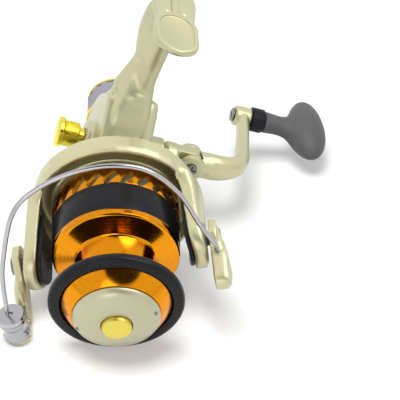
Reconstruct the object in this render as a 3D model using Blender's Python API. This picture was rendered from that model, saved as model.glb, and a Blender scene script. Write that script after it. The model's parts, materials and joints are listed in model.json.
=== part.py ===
"""Rear-drag spinning reel with a push-button spool, a folding crank and an open bail.

Frame: origin at the centre of the foot's top face, +Z out of the foot towards the rod,
-Y forward to the spool, +X to the handle side. All lengths are in metres.
Inside the script, pieces are drawn in the frame of the spool axis: x to the handle,
y backwards from the front of the spool lip, z from the axis towards the foot.
"""

import math

import bmesh
import bpy
from mathutils import Matrix, Vector

for old in list(bpy.data.objects):
    bpy.data.objects.remove(old, do_unlink=True)

# Fits between pieces
SEAT_GAP = 0.0003
RUN_GAP = 0.0005

# Foot and stem
FOOT_HEIGHT = 0.075
FOOT_LENGTH = 0.062
FOOT_WIDTH = 0.017
FOOT_THICK = 0.0042
FOOT_TIP_THICK = 0.0022
FOOT_TIP_RADIUS = 0.0055
FOOT_CENTRE_Y = 0.088
FOOT_RIM = 0.0022
FOOT_RECESS = 0.0006
FOOT_LAND = 0.014
STEM_WAIST_LENGTH = 0.0165
STEM_WAIST_WIDTH = 0.0095
# Up the stem: share of its rise, set back from the crank, shares of length and width, lean in x
STEM_SHAPE = (
    (0.00, 0.0035, 0.95, 1.10, -0.0024),
    (0.20, 0.0050, 0.80, 0.92, -0.0030),
    (0.33, 0.0068, 0.68, 0.74, -0.0020),
    (0.45, 0.0082, 0.57, 0.58, -0.0008),
    (0.62, 0.0090, 0.50, 0.52, 0.0),
    (0.80, 0.0090, 0.52, 0.56, 0.0),
    (0.93, 0.0090, 0.62, 0.68, 0.0),
    (1.00, 0.0090, 0.85, 0.80, 0.0),
)

# Spool
LIP_RADIUS = 0.025
LIP_THICK = 0.0032
LIP_BORE = 0.0206
NECK_RADIUS = 0.0149
RIM_RADIUS = 0.0242
RIM_Y = 0.0246
SKIRT_RADIUS = 0.0251
SKIRT_Y = 0.0476
SKIRT_WALL = 0.0014
SPOOL_WEB = 0.0032
VENT_COUNT = 18
VENT_LENGTH = 0.0076
VENT_WIDTH = 0.0034
VENT_SLANT = -38.0
CAP_RADIUS = 0.0167
CAP_FRONT = 0.0082
CAP_DISH = 0.0085
BUTTON_RADIUS = 0.0058
BUTTON_FRONT = 0.0099
BUTTON_TRAVEL = 0.0015

# Main shaft and pinion
SHAFT_RADIUS = 0.0020
SHAFT_REAR_Y = 0.1130
PINION_TEETH = 6
GEAR_TEETH = 28
PINION_PITCH_RADIUS = 0.0040
PINION_SLEEVE_RADIUS = 0.0034
TOOTH_ADDENDUM = 0.00055
TOOTH_DEDENDUM = 0.00070
TOOTH_SHARE = 0.29
GEAR_FACE = 0.0024
GEAR_BACK = 0.0022

# Crank axis, measured from the spool axis
CRANK_Y = 0.079
CRANK_Z = 0.007
DRIVE_SHAFT_RADIUS = 0.0030

# Rotor and bail
ROTOR_REST = 28.0
ROTOR_BACK_Y = 0.058
RING_FRONT_Y = 0.048
RING_WALL = 0.0024
DRUM_RADIUS = 0.0215
DRUM_WALL = 0.0020
DRUM_FRONT_Y = 0.0275
SHOULDER_RADIUS = 0.0262
ROTOR_WEB_Y = 0.0450
ROTOR_WEB = 0.0030
ARM_RADIUS = 0.0350
ARM_PROUD = 0.0020
ARM_THICK = 0.0050
ARM_END_RADIUS = 0.0105
ARM_ROOT_HALF = 0.0170
ARM_COVER = 0.0015
PIVOT_Y = 0.026
PIVOT_RADIUS = 0.0022
BAIL_PLATE = 0.0030
BAIL_END = 0.0032
BAIL_HEIGHT = 0.0494
WIRE_RADIUS = 0.0010
# The bail wire from the roller over the spool: shares of the roller's reach, its lead and the height
BAIL_ROUTE = (
    (-0.978, 0.895, 0.219),
    (-0.904, 0.819, 0.453),
    (-0.725, 0.595, 0.798),
    (-0.489, 0.405, 0.929),
    (-0.128, 0.286, 1.000),
    (0.214, 0.238, 0.988),
    (0.494, 0.238, 0.885),
    (0.708, 0.276, 0.636),
    (0.833, 0.357, 0.336),
)
ROLLER_RADIUS = 0.0047
ROLLER_LENGTH = 0.0092
ROLLER_Y = 0.005
ROLLER_MID_Z = -0.0102
ROLLER_OUT = 0.0057
CUP_THICK = 0.0026

# Housing
HOUSING_LEFT = 0.0132
HOUSING_SPLIT = 0.0026
HOUSING_RIGHT = 0.0084
HOUSING_FRONT_Y = 0.059
HOUSING_RADIUS = 0.020
HOUSING_WALL = 0.0010
HOUSING_ROUND = 0.0042
COVER_ROUND = 0.0030
BELLY_RADIUS = 0.0095
BELLY_Z = -0.0085
BELLY_REAR_Y = 0.0885
NOSE_RADIUS = 0.0172
NOSE_FRONT_Y = 0.0488
BOSS_RADIUS = 0.0072
BOSS_LENGTH = 0.0030

# Oscillation
OSC_DRIVE_TEETH = 12
OSC_TEETH = 24
OSC_MODULE = 0.0007
OSC_GEAR_THICK = 0.0022
OSC_X = 0.0053
OSC_ANGLE = -80.0
REAR_TRAVEL = 0.0015
FRONT_TRAVEL = 0.0085
SLIDER_Y = 0.0885
SLIDER_LENGTH = 0.0060
SLIDER_HALF = 0.0031
GUIDE_RADIUS = 0.0012
GUIDE_Z = -0.0085

# Rear drag
DRAG_COLLAR_RADIUS = 0.0122
DRAG_COLLAR_Y = 0.1012
DRAG_COLLAR = 0.0016
DRAG_BOSS_RADIUS = 0.0100
DRAG_BOSS_REAR_Y = 0.1085
DRAG_BORE = 0.0084
DRAG_KNOB_RADIUS = 0.0124
DRAG_KNOB_REAR_Y = 0.1178
DRAG_KNOB_WALL = 0.0014
DRAG_KNOB_END = 0.0020
DRAG_RIBS = 14
WASHER_THICK = 0.0010

# Folding crank
CRANK_REST = -9.0
HANDLE_RADIUS = 0.0496
HANDLE_LEAN = 0.0085
FOLD_X = 0.0300
KNUCKLE_RADIUS = 0.0058
KNUCKLE_THICK = 0.0052
FORK_CHEEK = 0.0028
FOLD_PIN_RADIUS = 0.0017
ARM_CORNER_X = 0.0530
ARM_THICKNESS = 0.0060
LEG_WIDTH = 0.0088
KNOB_AXLE_RADIUS = 0.0020
KNOB_BOSS_RADIUS = 0.0062
KNOB_INNER_X = 0.0655
FERRULE_LENGTH = 0.0060
FERRULE_RADIUS = 0.0056
KNOB_NECK_RADIUS = 0.0049
KNOB_LENGTH = 0.0340
KNOB_HEAD_HALF = 0.0138
KNOB_HEAD_THICK = 0.0092
LOCK_SCREW_RADIUS = 0.0058
LOCK_SCREW_LENGTH = 0.0090

# Anti-reverse lever under the housing
LEVER_Y = 0.0800
LEVER_LENGTH = 0.0100
LEVER_WIDTH = 0.0052
LEVER_THICK = 0.0024
LEVER_PIN_RADIUS = 0.0018

# Bearings, screws and small turned pieces
BEARING_Y = 0.0538
BEARING_WIDTH = 0.0030
BEARING_RADIUS = 0.0080
CLUTCH_RADIUS = 0.0080
CLUTCH_WIDTH = 0.0036
DRIVE_BEARING_RADIUS = 0.0052
DRIVE_BEARING_WIDTH = 0.0028
BOSS_LIP = 0.0010
DRAG_FLOOR_Y = 0.1006
PILLAR_RADIUS = 0.0022
LUG_RADIUS = 0.0046
SCREW_RADIUS = 0.0010
SCREW_HEAD = 0.0018
SCREW_SINK = 0.0022
PINION_FACE = 0.0060
PINION_FRONT_Y = 0.0400
NUT_FRONT_Y = 0.0410
NUT_RADIUS = 0.0075
SPUR_SHARE = 0.31
STUD_RADIUS = 0.0015
PIN_RADIUS = 0.0010
COLLAR_STEP = 0.0010
COLLAR_LENGTH = 0.0016
LATCH_DEPTH = 0.0045
AXLE_RADIUS = 0.0016
PIVOT_HEAD = 0.0010
WIRE_END_Y = 0.0170
WIRE_END_Z = 0.0035
SPRING_WIRE = 0.0005
SPRING_RADIUS = 0.0050
LOCK_ROD_RADIUS = 0.0014
LOCK_NECK = 0.0024
BASE_INNER_X = 0.0172
BASE_RADIUS = 0.0066
FOLD_HEAD = 0.0010

ROUND = 24
SMALL_ROUND = 16
HULL_ROUND = 18
SPOOL_ROUND = 36
ARM_ROUND = 48


# Tools

def axis_empty(name, location, rotation=(0.0, 0.0, 0.0), parent=None):
    empty = bpy.data.objects.new(name, None)
    empty.location = location
    empty.rotation_euler = rotation
    empty.parent = parent
    bpy.context.scene.collection.objects.link(empty)
    return empty


def material(name, colour, roughness, metallic):
    made = bpy.data.materials.new(name)
    made.use_nodes = True
    shader = made.node_tree.nodes["Principled BSDF"]
    shader.inputs["Base Color"].default_value = (*colour, 1.0)
    shader.inputs["Roughness"].default_value = roughness
    shader.inputs["Metallic"].default_value = metallic
    return made


def piece(name, mesh, look, parent, smooth=35.0):
    bmesh.ops.remove_doubles(mesh, verts=mesh.verts, dist=1e-8)
    bmesh.ops.recalc_face_normals(mesh, faces=mesh.faces)
    data = bpy.data.meshes.new(name)
    mesh.to_mesh(data)
    mesh.free()
    data.shade_smooth()
    data.set_sharp_from_angle(angle=math.radians(smooth))
    data.materials.append(look)
    made = bpy.data.objects.new(name, data)
    made.parent = parent
    bpy.context.scene.collection.objects.link(made)
    return made


def combine(target, mesh, operation):
    """Joins a mesh in the target's own frame to it, or cuts or keeps by it."""
    look = target.data.materials[0]
    tool = piece("tool", mesh, look, target.parent)
    change = target.modifiers.new("change", "BOOLEAN")
    change.operation = operation
    change.object = tool
    bpy.context.view_layer.update()
    seen = target.evaluated_get(bpy.context.evaluated_depsgraph_get())
    changed = bpy.data.meshes.new_from_object(seen)
    target.modifiers.clear()
    target.data = changed
    bpy.data.objects.remove(tool, do_unlink=True)
    changed.shade_smooth()
    changed.set_sharp_from_angle(angle=math.radians(35.0))


def taken(made):
    """The mesh of a helper object, which is removed."""
    mesh = bmesh.new()
    mesh.from_mesh(made.data)
    bpy.data.objects.remove(made, do_unlink=True)
    return mesh


def turned(profile, axis="Y", centre=(0.0, 0.0, 0.0), steps=ROUND):
    """A closed (radius, along) outline turned about an axis through the centre."""
    mesh = bmesh.new()
    middle = Vector(centre)
    along = {"X": Vector((1, 0, 0)), "Y": Vector((0, 1, 0)), "Z": Vector((0, 0, 1))}[axis]
    out = {"X": Vector((0, 0, 1)), "Y": Vector((1, 0, 0)), "Z": Vector((1, 0, 0))}[axis]
    verts = [mesh.verts.new(middle + out * radius + along * place) for radius, place in profile]
    edges = []
    for first, second in zip(profile, profile[1:] + profile[:1]):
        if first[0] > 0 or second[0] > 0:
            pair = verts[profile.index(first)], verts[profile.index(second)]
            edges.append(mesh.edges.new(pair))
    bmesh.ops.spin(mesh, geom=verts + edges, cent=middle, axis=along,
                   angle=2 * math.pi, steps=steps, use_merge=True)
    bmesh.ops.remove_doubles(mesh, verts=mesh.verts, dist=1e-7)
    return mesh


def ring(inner, outer, low, high, axis="Y", centre=(0.0, 0.0, 0.0), steps=ROUND):
    return turned([(outer, low), (outer, high), (inner, high), (inner, low)], axis, centre, steps)


def rod(radius, low, high, axis="Y", centre=(0.0, 0.0, 0.0), steps=SMALL_ROUND):
    along = {"X": Vector((1, 0, 0)), "Y": Vector((0, 1, 0)), "Z": Vector((0, 0, 1))}[axis]
    first = Vector((along.z, along.x, along.y)) * radius
    second = along.cross(first)
    return skinned([ellipse(Vector(centre) + along * place, first, second, steps) for place in (low, high)])


def block(low, high):
    mesh = bmesh.new()
    middle = (Vector(low) + Vector(high)) / 2
    size = Vector(high) - Vector(low)
    bmesh.ops.create_cube(mesh, size=1.0, matrix=Matrix.Translation(middle) @ Matrix.Diagonal((*size, 1)))
    return mesh


def skinned(rings, closed=False):
    """A skin over rings of equally many points, capped at both ends or joined end to end."""
    mesh = bmesh.new()
    loops = [[mesh.verts.new(point) for point in points] for points in rings]
    following = loops[1:] + loops[:1] if closed else loops[1:]
    for first, second in zip(loops, following):
        for index in range(len(first)):
            after = (index + 1) % len(first)
            mesh.faces.new((first[index], first[after], second[after], second[index]))
    if not closed:
        mesh.faces.new(loops[0])
        mesh.faces.new(loops[-1])
    return mesh


def ellipse(centre, first, second, count):
    """Points round an ellipse whose half axes are the two vectors."""
    turns = [2 * math.pi * index / count for index in range(count)]
    return [Vector(centre) + Vector(first) * math.cos(t) + Vector(second) * math.sin(t) for t in turns]


def swept(path, first, second, count):
    """A tube along a path, with half widths for each point across and along the side vector."""
    rings = []
    for index, here in enumerate(path):
        ahead = path[min(index + 1, len(path) - 1)] - path[max(index - 1, 0)]
        side = Vector((0, 0, 1))
        across = ahead.cross(side).normalized()
        side = across.cross(ahead).normalized()
        rings.append(ellipse(here, across * first[index], side * second[index], count))
    return skinned(rings)


def smooth_path(points, per_span):
    """Catmull-Rom points through a route."""
    ends = [2 * points[0] - points[1], *points, 2 * points[-1] - points[-2]]
    path = []
    for a, b, c, d in zip(ends, ends[1:], ends[2:], ends[3:]):
        for step in range(per_span):
            t = step / per_span
            path.append(0.5 * (2 * b + (c - a) * t + (2 * a - 5 * b + 4 * c - d) * t * t
                               + (3 * b - a - 3 * c + d) * t ** 3))
    return path + [points[-1]]


def hulled(levels, count=HULL_ROUND):
    """The convex hull of circles in the YZ plane: (x, [(y, z, radius), ...]) for each level."""
    mesh = bmesh.new()
    for x, circles in levels:
        for y, z, radius in circles:
            for point in ellipse((x, y, z), (0, radius, 0), (0, 0, radius), count):
                mesh.verts.new(point)
    found = bmesh.ops.convex_hull(mesh, input=mesh.verts)
    loose = set(found["geom_interior"]) | set(found["geom_unused"])
    bmesh.ops.delete(mesh, geom=[item for item in loose if isinstance(item, bmesh.types.BMVert)],
                     context="VERTS")
    return mesh


def prism(outline, low, high, axis="X"):
    """An outline pushed along an axis: (y, z) points along X, (x, z) along Y or (x, y) along Z."""
    place = {"X": lambda a, b, h: (h, a, b), "Y": lambda a, b, h: (a, h, b), "Z": lambda a, b,
             h: (a, b, h)}[axis]
    return skinned([[place(a, b, height) for a, b in outline] for height in (low, high)])


def arc(centre, radius, start, end, count):
    steps = [math.radians(start + (end - start) * index / count) for index in range(count + 1)]
    return [(centre[0] + radius * math.cos(t), centre[1] + radius * math.sin(t)) for t in steps]


# Looks
CHAMPAGNE = material("champagne_paint", (0.46, 0.42, 0.30), 0.35, 0.55)
COVER_PAINT = material("cover_paint", (0.43, 0.39, 0.28), 0.38, 0.55)
ORANGE = material("orange_anodised", (0.85, 0.25, 0.02), 0.25, 0.85)
BLACK = material("black_plastic", (0.012, 0.012, 0.014), 0.35, 0.0)
GOLD = material("gold_plate", (0.78, 0.55, 0.14), 0.25, 1.0)
STEEL = material("steel", (0.56, 0.56, 0.58), 0.30, 1.0)
CHROME = material("chrome", (0.75, 0.75, 0.77), 0.10, 1.0)
BRASS = material("brass", (0.60, 0.42, 0.18), 0.35, 1.0)
ZINC = material("zinc_casting", (0.42, 0.42, 0.43), 0.45, 0.9)
NYLON = material("white_nylon", (0.70, 0.68, 0.62), 0.50, 0.0)
FELT = material("drag_fibre", (0.20, 0.17, 0.13), 0.90, 0.0)
KNOB_GREY = material("soft_grey", (0.075, 0.075, 0.080), 0.70, 0.0)
DRAG_GREY = material("drag_knob_grey", (0.16, 0.14, 0.17), 0.45, 0.0)

# Axes that the pieces are drawn on
reel_axis = axis_empty("reel_axis", (0, -FOOT_CENTRE_Y, -FOOT_HEIGHT))
rotor_axis = axis_empty("rotor_axis", (0, 0, 0), (0, -math.radians(ROTOR_REST), 0), reel_axis)
bail_axis = axis_empty("bail_axis", (0, PIVOT_Y, 0), parent=rotor_axis)
crank_axis = axis_empty("crank_axis", (0, CRANK_Y, CRANK_Z), (math.radians(CRANK_REST), 0, 0), reel_axis)
drive_axis = axis_empty("drive_axis", (0, CRANK_Y, CRANK_Z), parent=reel_axis)
fold_axis = axis_empty("fold_axis", (FOLD_X, 0, 0), parent=crank_axis)
knob_axis = axis_empty("knob_axis", (0, HANDLE_RADIUS, 0), parent=crank_axis)

# Where the pinion meets the face gear: offset axes, radial gear teeth, helical pinion
teeth_ratio = GEAR_TEETH / PINION_TEETH
gear_span = teeth_ratio * PINION_PITCH_RADIUS
contact_back = (gear_span + math.sqrt(gear_span ** 2 - 4 * CRANK_Z ** 2)) / 2
gear_radius = math.hypot(contact_back, CRANK_Z)
contact_y = CRANK_Y - contact_back
helix = CRANK_Z / contact_back / PINION_PITCH_RADIUS
gear_outer = gear_radius + GEAR_FACE / 2
pinion_tip = PINION_PITCH_RADIUS + TOOTH_ADDENDUM
pinion_root = PINION_PITCH_RADIUS - TOOTH_DEDENDUM

# The rotor's ring lies inside its arms, and the roller stands outside them
ring_radius = ARM_RADIUS - ARM_PROUD
roller_u = ARM_RADIUS + ROLLER_OUT

# The stroke of the slider, and the rotor's shoulder just clear of the spool at its rear end
stroke = REAR_TRAVEL + FRONT_TRAVEL
shoulder_y = SKIRT_Y + REAR_TRAVEL + RUN_GAP

# The handle's base ends just clear of the fork that folds round its tongue
base_outer = FOLD_X - KNUCKLE_RADIUS - RUN_GAP

# The cover's boss reaches to just short of the handle's base
boss_end = BASE_INNER_X - RUN_GAP

# The top cover screw's pillar stands just clear of the drive gear
lug_z = CRANK_Z + gear_outer + SEAT_GAP + RUN_GAP + PILLAR_RADIUS


def housing_circles(inset):
    """The housing's side outline as circles: the gear case above, the belly below."""
    return [
        (CRANK_Y, CRANK_Z, HOUSING_RADIUS - inset),
        (HOUSING_FRONT_Y + BELLY_RADIUS, BELLY_Z, BELLY_RADIUS - inset),
        (BELLY_REAR_Y, BELLY_Z, BELLY_RADIUS - inset),
        (CRANK_Y, lug_z, LUG_RADIUS - inset),
    ]


def make_housing():
    """Gear case, nose, drag collar, stem and foot in one casting, open on the handle side."""
    half = HOUSING_ROUND * (1 - math.sqrt(0.5))
    body = piece("body_frame", hulled([
        (-HOUSING_LEFT, housing_circles(HOUSING_ROUND)),
        (half - HOUSING_LEFT, housing_circles(half)),
        (HOUSING_ROUND - HOUSING_LEFT, housing_circles(0)),
        (HOUSING_SPLIT, housing_circles(0)),
    ]), CHAMPAGNE, reel_axis)
    post = piece("post", stem(), CHAMPAGNE, reel_axis)
    combine(post, hulled([
        (HOUSING_SPLIT - SEAT_GAP, housing_circles(-SEAT_GAP)),
        (HOUSING_RIGHT + BOSS_LENGTH, housing_circles(-SEAT_GAP)),
    ]), "DIFFERENCE")
    combine(body, taken(post), "UNION")
    combine(body, foot(), "UNION")
    nose = piece("nose", rod(NOSE_RADIUS, NOSE_FRONT_Y, HOUSING_FRONT_Y + BELLY_RADIUS, steps=ROUND),
                 CHAMPAGNE, reel_axis)
    combine(nose, block((HOUSING_SPLIT - SEAT_GAP, HOUSING_FRONT_Y - SEAT_GAP, -CRANK_Y),
                        (CRANK_Y, CRANK_Y, CRANK_Y)), "DIFFERENCE")
    combine(body, taken(nose), "UNION")
    tail = piece("tail", turned([
        (0, CRANK_Y), (DRAG_COLLAR_RADIUS * 0.9, CRANK_Y),
        (DRAG_COLLAR_RADIUS, DRAG_COLLAR_Y - DRAG_COLLAR),
        (DRAG_COLLAR_RADIUS, DRAG_COLLAR_Y),
        (DRAG_BOSS_RADIUS, DRAG_COLLAR_Y), (DRAG_BOSS_RADIUS, DRAG_BOSS_REAR_Y), (0, DRAG_BOSS_REAR_Y),
    ]), CHAMPAGNE, reel_axis)
    combine(tail, block((HOUSING_SPLIT - SEAT_GAP, 0, -CRANK_Y),
                        (CRANK_Y, CRANK_Y + HOUSING_RADIUS + SEAT_GAP, CRANK_Y)), "DIFFERENCE")
    combine(body, taken(tail), "UNION")
    combine(body, rod(BOSS_RADIUS, -HOUSING_LEFT - BOSS_LENGTH, HOUSING_WALL - HOUSING_LEFT,
                      "X", (0, CRANK_Y, CRANK_Z), ROUND), "UNION")
    cavity_floor = HOUSING_WALL - HOUSING_LEFT
    combine(body, hulled([
        (cavity_floor, housing_circles(HOUSING_WALL)),
        (HOUSING_SPLIT + HOUSING_WALL, housing_circles(HOUSING_WALL)),
    ]), "DIFFERENCE")
    # bores through the nose, the drag boss, the left boss and the belly
    combine(body, turned([
        (0, NOSE_FRONT_Y - HOUSING_WALL), (CLUTCH_RADIUS + SEAT_GAP, NOSE_FRONT_Y - HOUSING_WALL),
        (CLUTCH_RADIUS + SEAT_GAP, BEARING_Y + BEARING_WIDTH + SEAT_GAP),
        (pinion_tip + RUN_GAP, BEARING_Y + BEARING_WIDTH + SEAT_GAP),
        (pinion_tip + RUN_GAP, contact_y), (0, contact_y),
    ]), "DIFFERENCE")
    combine(body, turned([
        (0, CRANK_Y), (SHAFT_RADIUS + RUN_GAP, CRANK_Y),
        (SHAFT_RADIUS + RUN_GAP, DRAG_FLOOR_Y), (DRAG_BORE, DRAG_FLOOR_Y),
        (DRAG_BORE, DRAG_BOSS_REAR_Y + HOUSING_WALL), (0, DRAG_BOSS_REAR_Y + HOUSING_WALL),
    ]), "DIFFERENCE")
    combine(body, rod(DRIVE_BEARING_RADIUS + SEAT_GAP, -HOUSING_LEFT - BOSS_LENGTH + BOSS_LIP,
                      cavity_floor + HOUSING_WALL, "X", (0, CRANK_Y, CRANK_Z)), "DIFFERENCE")
    combine(body, rod(DRIVE_SHAFT_RADIUS + RUN_GAP, -HOUSING_LEFT - 2 * BOSS_LENGTH, cavity_floor,
                      "X", (0, CRANK_Y, CRANK_Z)), "DIFFERENCE")
    combine(body, rod(LEVER_PIN_RADIUS + SEAT_GAP, BELLY_Z - 2 * BELLY_RADIUS, BELLY_Z,
                      "Z", (0, LEVER_Y, 0)), "DIFFERENCE")
    return body


def stem():
    """The stem as a loft of ovals from the gear case up to the foot."""
    rise = FOOT_HEIGHT - FOOT_THICK / 2 - CRANK_Z
    return skinned([
        ellipse((lean, CRANK_Y + back, CRANK_Z + rise * share),
                (0, STEM_WAIST_LENGTH * length, 0), (STEM_WAIST_WIDTH * width, 0, 0), ROUND)
        for share, back, length, width, lean in STEM_SHAPE])


def foot_outline(inset):
    """Half-round tips on a long taper, widest in the middle."""
    half, width = FOOT_LENGTH / 2 - inset, FOOT_WIDTH / 2 - inset
    tip = max(FOOT_TIP_RADIUS - inset, FOOT_RIM / 2)
    front = arc((0, tip - half), tip, 190, 350, 8)
    rear = arc((0, half - tip), tip, 10, 170, 8)
    return [(x, y + FOOT_CENTRE_Y) for x, y in front + [(width, 0.0)] + rear + [(-width, 0.0)]]


def foot():
    """Flat on top, with the underside rising to thin tips."""
    mesh = prism(foot_outline(0), FOOT_HEIGHT - FOOT_THICK, FOOT_HEIGHT, "Z")
    for vert in mesh.verts:
        share = abs(vert.co.y - FOOT_CENTRE_Y) / (FOOT_LENGTH / 2)
        if vert.co.z < FOOT_HEIGHT - FOOT_THICK / 2:
            vert.co.z += (FOOT_THICK - FOOT_TIP_THICK) * share ** 2
    return mesh


def foot_pockets(body):
    """Shallow pockets inside the rim at both ends of the seat, either side of the middle land."""
    for side in (-1, 1):
        outline = [(x, y) for x, y in foot_outline(FOOT_RIM) if side * (y - FOOT_CENTRE_Y) > FOOT_LAND / 2]
        edge = FOOT_CENTRE_Y + side * FOOT_LAND / 2
        width = FOOT_WIDTH / 2 - FOOT_RIM - FOOT_LAND / 8
        outline = outline + [(-side * width, edge), (side * width, edge)]
        combine(body, prism(outline, FOOT_HEIGHT - FOOT_RECESS, FOOT_HEIGHT + FOOT_THICK, "Z"),
                "DIFFERENCE")


def make_side_cover():
    """A shallow cover on the handle side, with a long boss for the crank's bearing."""
    half = COVER_ROUND * (1 - math.sqrt(0.5))
    inner = HOUSING_SPLIT + SEAT_GAP
    middle = (0, CRANK_Y, CRANK_Z)
    cover = piece("side_cover", hulled([
        (inner, housing_circles(0)),
        (HOUSING_RIGHT - COVER_ROUND, housing_circles(0)),
        (HOUSING_RIGHT - half, housing_circles(half)),
        (HOUSING_RIGHT, housing_circles(COVER_ROUND)),
    ]), COVER_PAINT, reel_axis)
    combine(cover, rod(BOSS_RADIUS, HOUSING_RIGHT - HOUSING_WALL, boss_end, "X", middle, ROUND), "UNION")
    combine(cover, hulled([
        (inner - HOUSING_WALL, housing_circles(HOUSING_WALL)),
        (HOUSING_RIGHT - HOUSING_WALL, housing_circles(COVER_ROUND)),
    ]), "DIFFERENCE")
    combine(cover, rod(DRIVE_BEARING_RADIUS + SEAT_GAP, inner, boss_end - BOSS_LIP, "X", middle),
            "DIFFERENCE")
    combine(cover, rod(DRIVE_SHAFT_RADIUS + RUN_GAP, inner, boss_end + BOSS_LENGTH, "X", middle),
            "DIFFERENCE")
    # room for the pinion, which runs in through the front wall
    combine(cover, rod(pinion_tip + RUN_GAP, HOUSING_FRONT_Y - HOUSING_WALL, contact_y + PINION_FACE),
            "DIFFERENCE")
    return cover


def cover_screw_places():
    """Three screws in pillars near the rim of the side cover."""
    return [
        (CRANK_Y, lug_z),
        (HOUSING_FRONT_Y + BELLY_RADIUS, BELLY_Z - BELLY_RADIUS + HOUSING_WALL / 2 + PILLAR_RADIUS),
        (BELLY_REAR_Y, BELLY_Z - BELLY_RADIUS + HOUSING_WALL / 2 + PILLAR_RADIUS),
    ]


def make_cover_screws(body, cover):
    for index, (y, z) in enumerate(cover_screw_places()):
        combine(body,
                rod(PILLAR_RADIUS, -HOUSING_LEFT + HOUSING_WALL / 2, HOUSING_SPLIT - SEAT_GAP, "X",
                    (0, y, z)), "UNION")
        combine(body, rod(SCREW_RADIUS + SEAT_GAP, 0, HOUSING_SPLIT + HOUSING_WALL, "X", (0, y, z), 16),
                "DIFFERENCE")
        seat = HOUSING_RIGHT - SCREW_SINK
        combine(cover,
                rod(PILLAR_RADIUS, HOUSING_SPLIT + 2 * SEAT_GAP, seat + HOUSING_WALL / 2, "X",
                    (0, y, z)), "UNION")
        combine(cover,
                rod(SCREW_RADIUS + SEAT_GAP, HOUSING_SPLIT - HOUSING_WALL, HOUSING_RIGHT + HOUSING_WALL,
                           "X", (0, y, z), 16), "DIFFERENCE")
        combine(cover, rod(SCREW_HEAD + SEAT_GAP, seat, HOUSING_RIGHT + HOUSING_WALL, "X", (0, y, z), 16),
                "DIFFERENCE")
        seat += SEAT_GAP
        piece(f"cover_screw_{index + 1}", turned([
            (0, SEAT_GAP), (SCREW_RADIUS, SEAT_GAP), (SCREW_RADIUS, seat), (SCREW_HEAD, seat),
            (SCREW_HEAD, seat + SCREW_RADIUS), (0, seat + SCREW_RADIUS),
        ], "X", (0, y, z), 16), STEEL, reel_axis)


def make_pinion():
    """Helical pinion on a sleeve that runs forward through the rotor."""
    count = PINION_TEETH * 4
    tooth_low = contact_y - PINION_FACE / 2
    tooth_high = contact_y + PINION_FACE / 2

    def circle(radius, y):
        return [Vector((radius * math.cos(t), y, -radius * math.sin(t)))
                for t in (2 * math.pi * index / count for index in range(count))]

    def toothed(y):
        points = []
        for tooth in range(PINION_TEETH):
            # a gap faces the gear at the contact, so teeth start half a pitch round
            middle = 2 * math.pi * (tooth + 0.5) / PINION_TEETH + helix * (y - contact_y)
            pitch = 2 * math.pi / PINION_TEETH
            for share, radius in ((-0.5, pinion_root), (-0.22, pinion_tip), (0.22, pinion_tip),
                                  (0.5, pinion_root)):
                turn = middle + share * 2 * TOOTH_SHARE * pitch
                points.append(Vector((radius * math.cos(turn), y, -radius * math.sin(turn))))
        return points

    steps = 4
    rings = [circle(PINION_SLEEVE_RADIUS, PINION_FRONT_Y),
             circle(PINION_SLEEVE_RADIUS, tooth_low - SEAT_GAP)]
    rings += [toothed(tooth_low + PINION_FACE * step / steps) for step in range(steps + 1)]
    rings += [circle(pinion_root - SEAT_GAP, tooth_high + SEAT_GAP),
              circle(SHAFT_RADIUS + SEAT_GAP, tooth_high + SEAT_GAP)]
    rings += [circle(SHAFT_RADIUS + SEAT_GAP, PINION_FRONT_Y)]
    return piece("pinion_gear", skinned(rings, closed=True), BRASS, reel_axis, 25.0)


def make_drive_gear():
    """Face gear with radial teeth towards the pinion, on the hollow drive shaft."""
    tip_x = TOOTH_ADDENDUM - PINION_PITCH_RADIUS
    root_x = -PINION_PITCH_RADIUS - TOOTH_DEDENDUM
    back_x = root_x - GEAR_BACK
    pitch = 2 * math.pi / GEAR_TEETH
    start = math.atan2(-CRANK_Z, -contact_back)
    inner, outer = gear_radius - GEAR_FACE / 2, gear_radius + GEAR_FACE / 2

    def ring_at(radius, place):
        points = []
        for tooth in range(GEAR_TEETH):
            for share, high in ((-0.5, False), (-0.25, True), (0.25, True), (0.5, False)):
                turn = start + pitch * tooth + share * 2 * TOOTH_SHARE * pitch
                x = place if place is not None else (tip_x if high else root_x + SEAT_GAP / 4)
                points.append(Vector((x, radius * math.cos(turn), radius * math.sin(turn))))
        return points

    bore = DRIVE_SHAFT_RADIUS + SEAT_GAP
    gear = piece("drive_gear", skinned([
        ring_at(inner - SEAT_GAP, root_x), ring_at(inner, None), ring_at(outer, None),
        ring_at(outer + SEAT_GAP, root_x), ring_at(outer + SEAT_GAP, back_x), ring_at(bore, back_x),
        ring_at(bore, root_x),
    ], closed=True), ZINC, drive_axis, 25.0)
    return gear


def spur(name, teeth, module, low, high, bore, look, parent, phase):
    pitch_radius = module * teeth / 2
    pitch = 2 * math.pi / teeth

    def ring_at(x, toothed):
        points = []
        for tooth in range(teeth):
            for share, add in ((-0.5, -1.1), (-0.24, 0.8), (0.24, 0.8), (0.5, -1.1)):
                turn = phase + pitch * tooth + share * 2 * SPUR_SHARE * pitch
                radius = pitch_radius + module * add if toothed else bore
                points.append(Vector((x, radius * math.cos(turn), radius * math.sin(turn))))
        return points

    return piece(name, skinned([
        ring_at(low, True), ring_at(high, True), ring_at(high, False), ring_at(low, False),
    ], closed=True), look, parent, 25.0)


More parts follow.
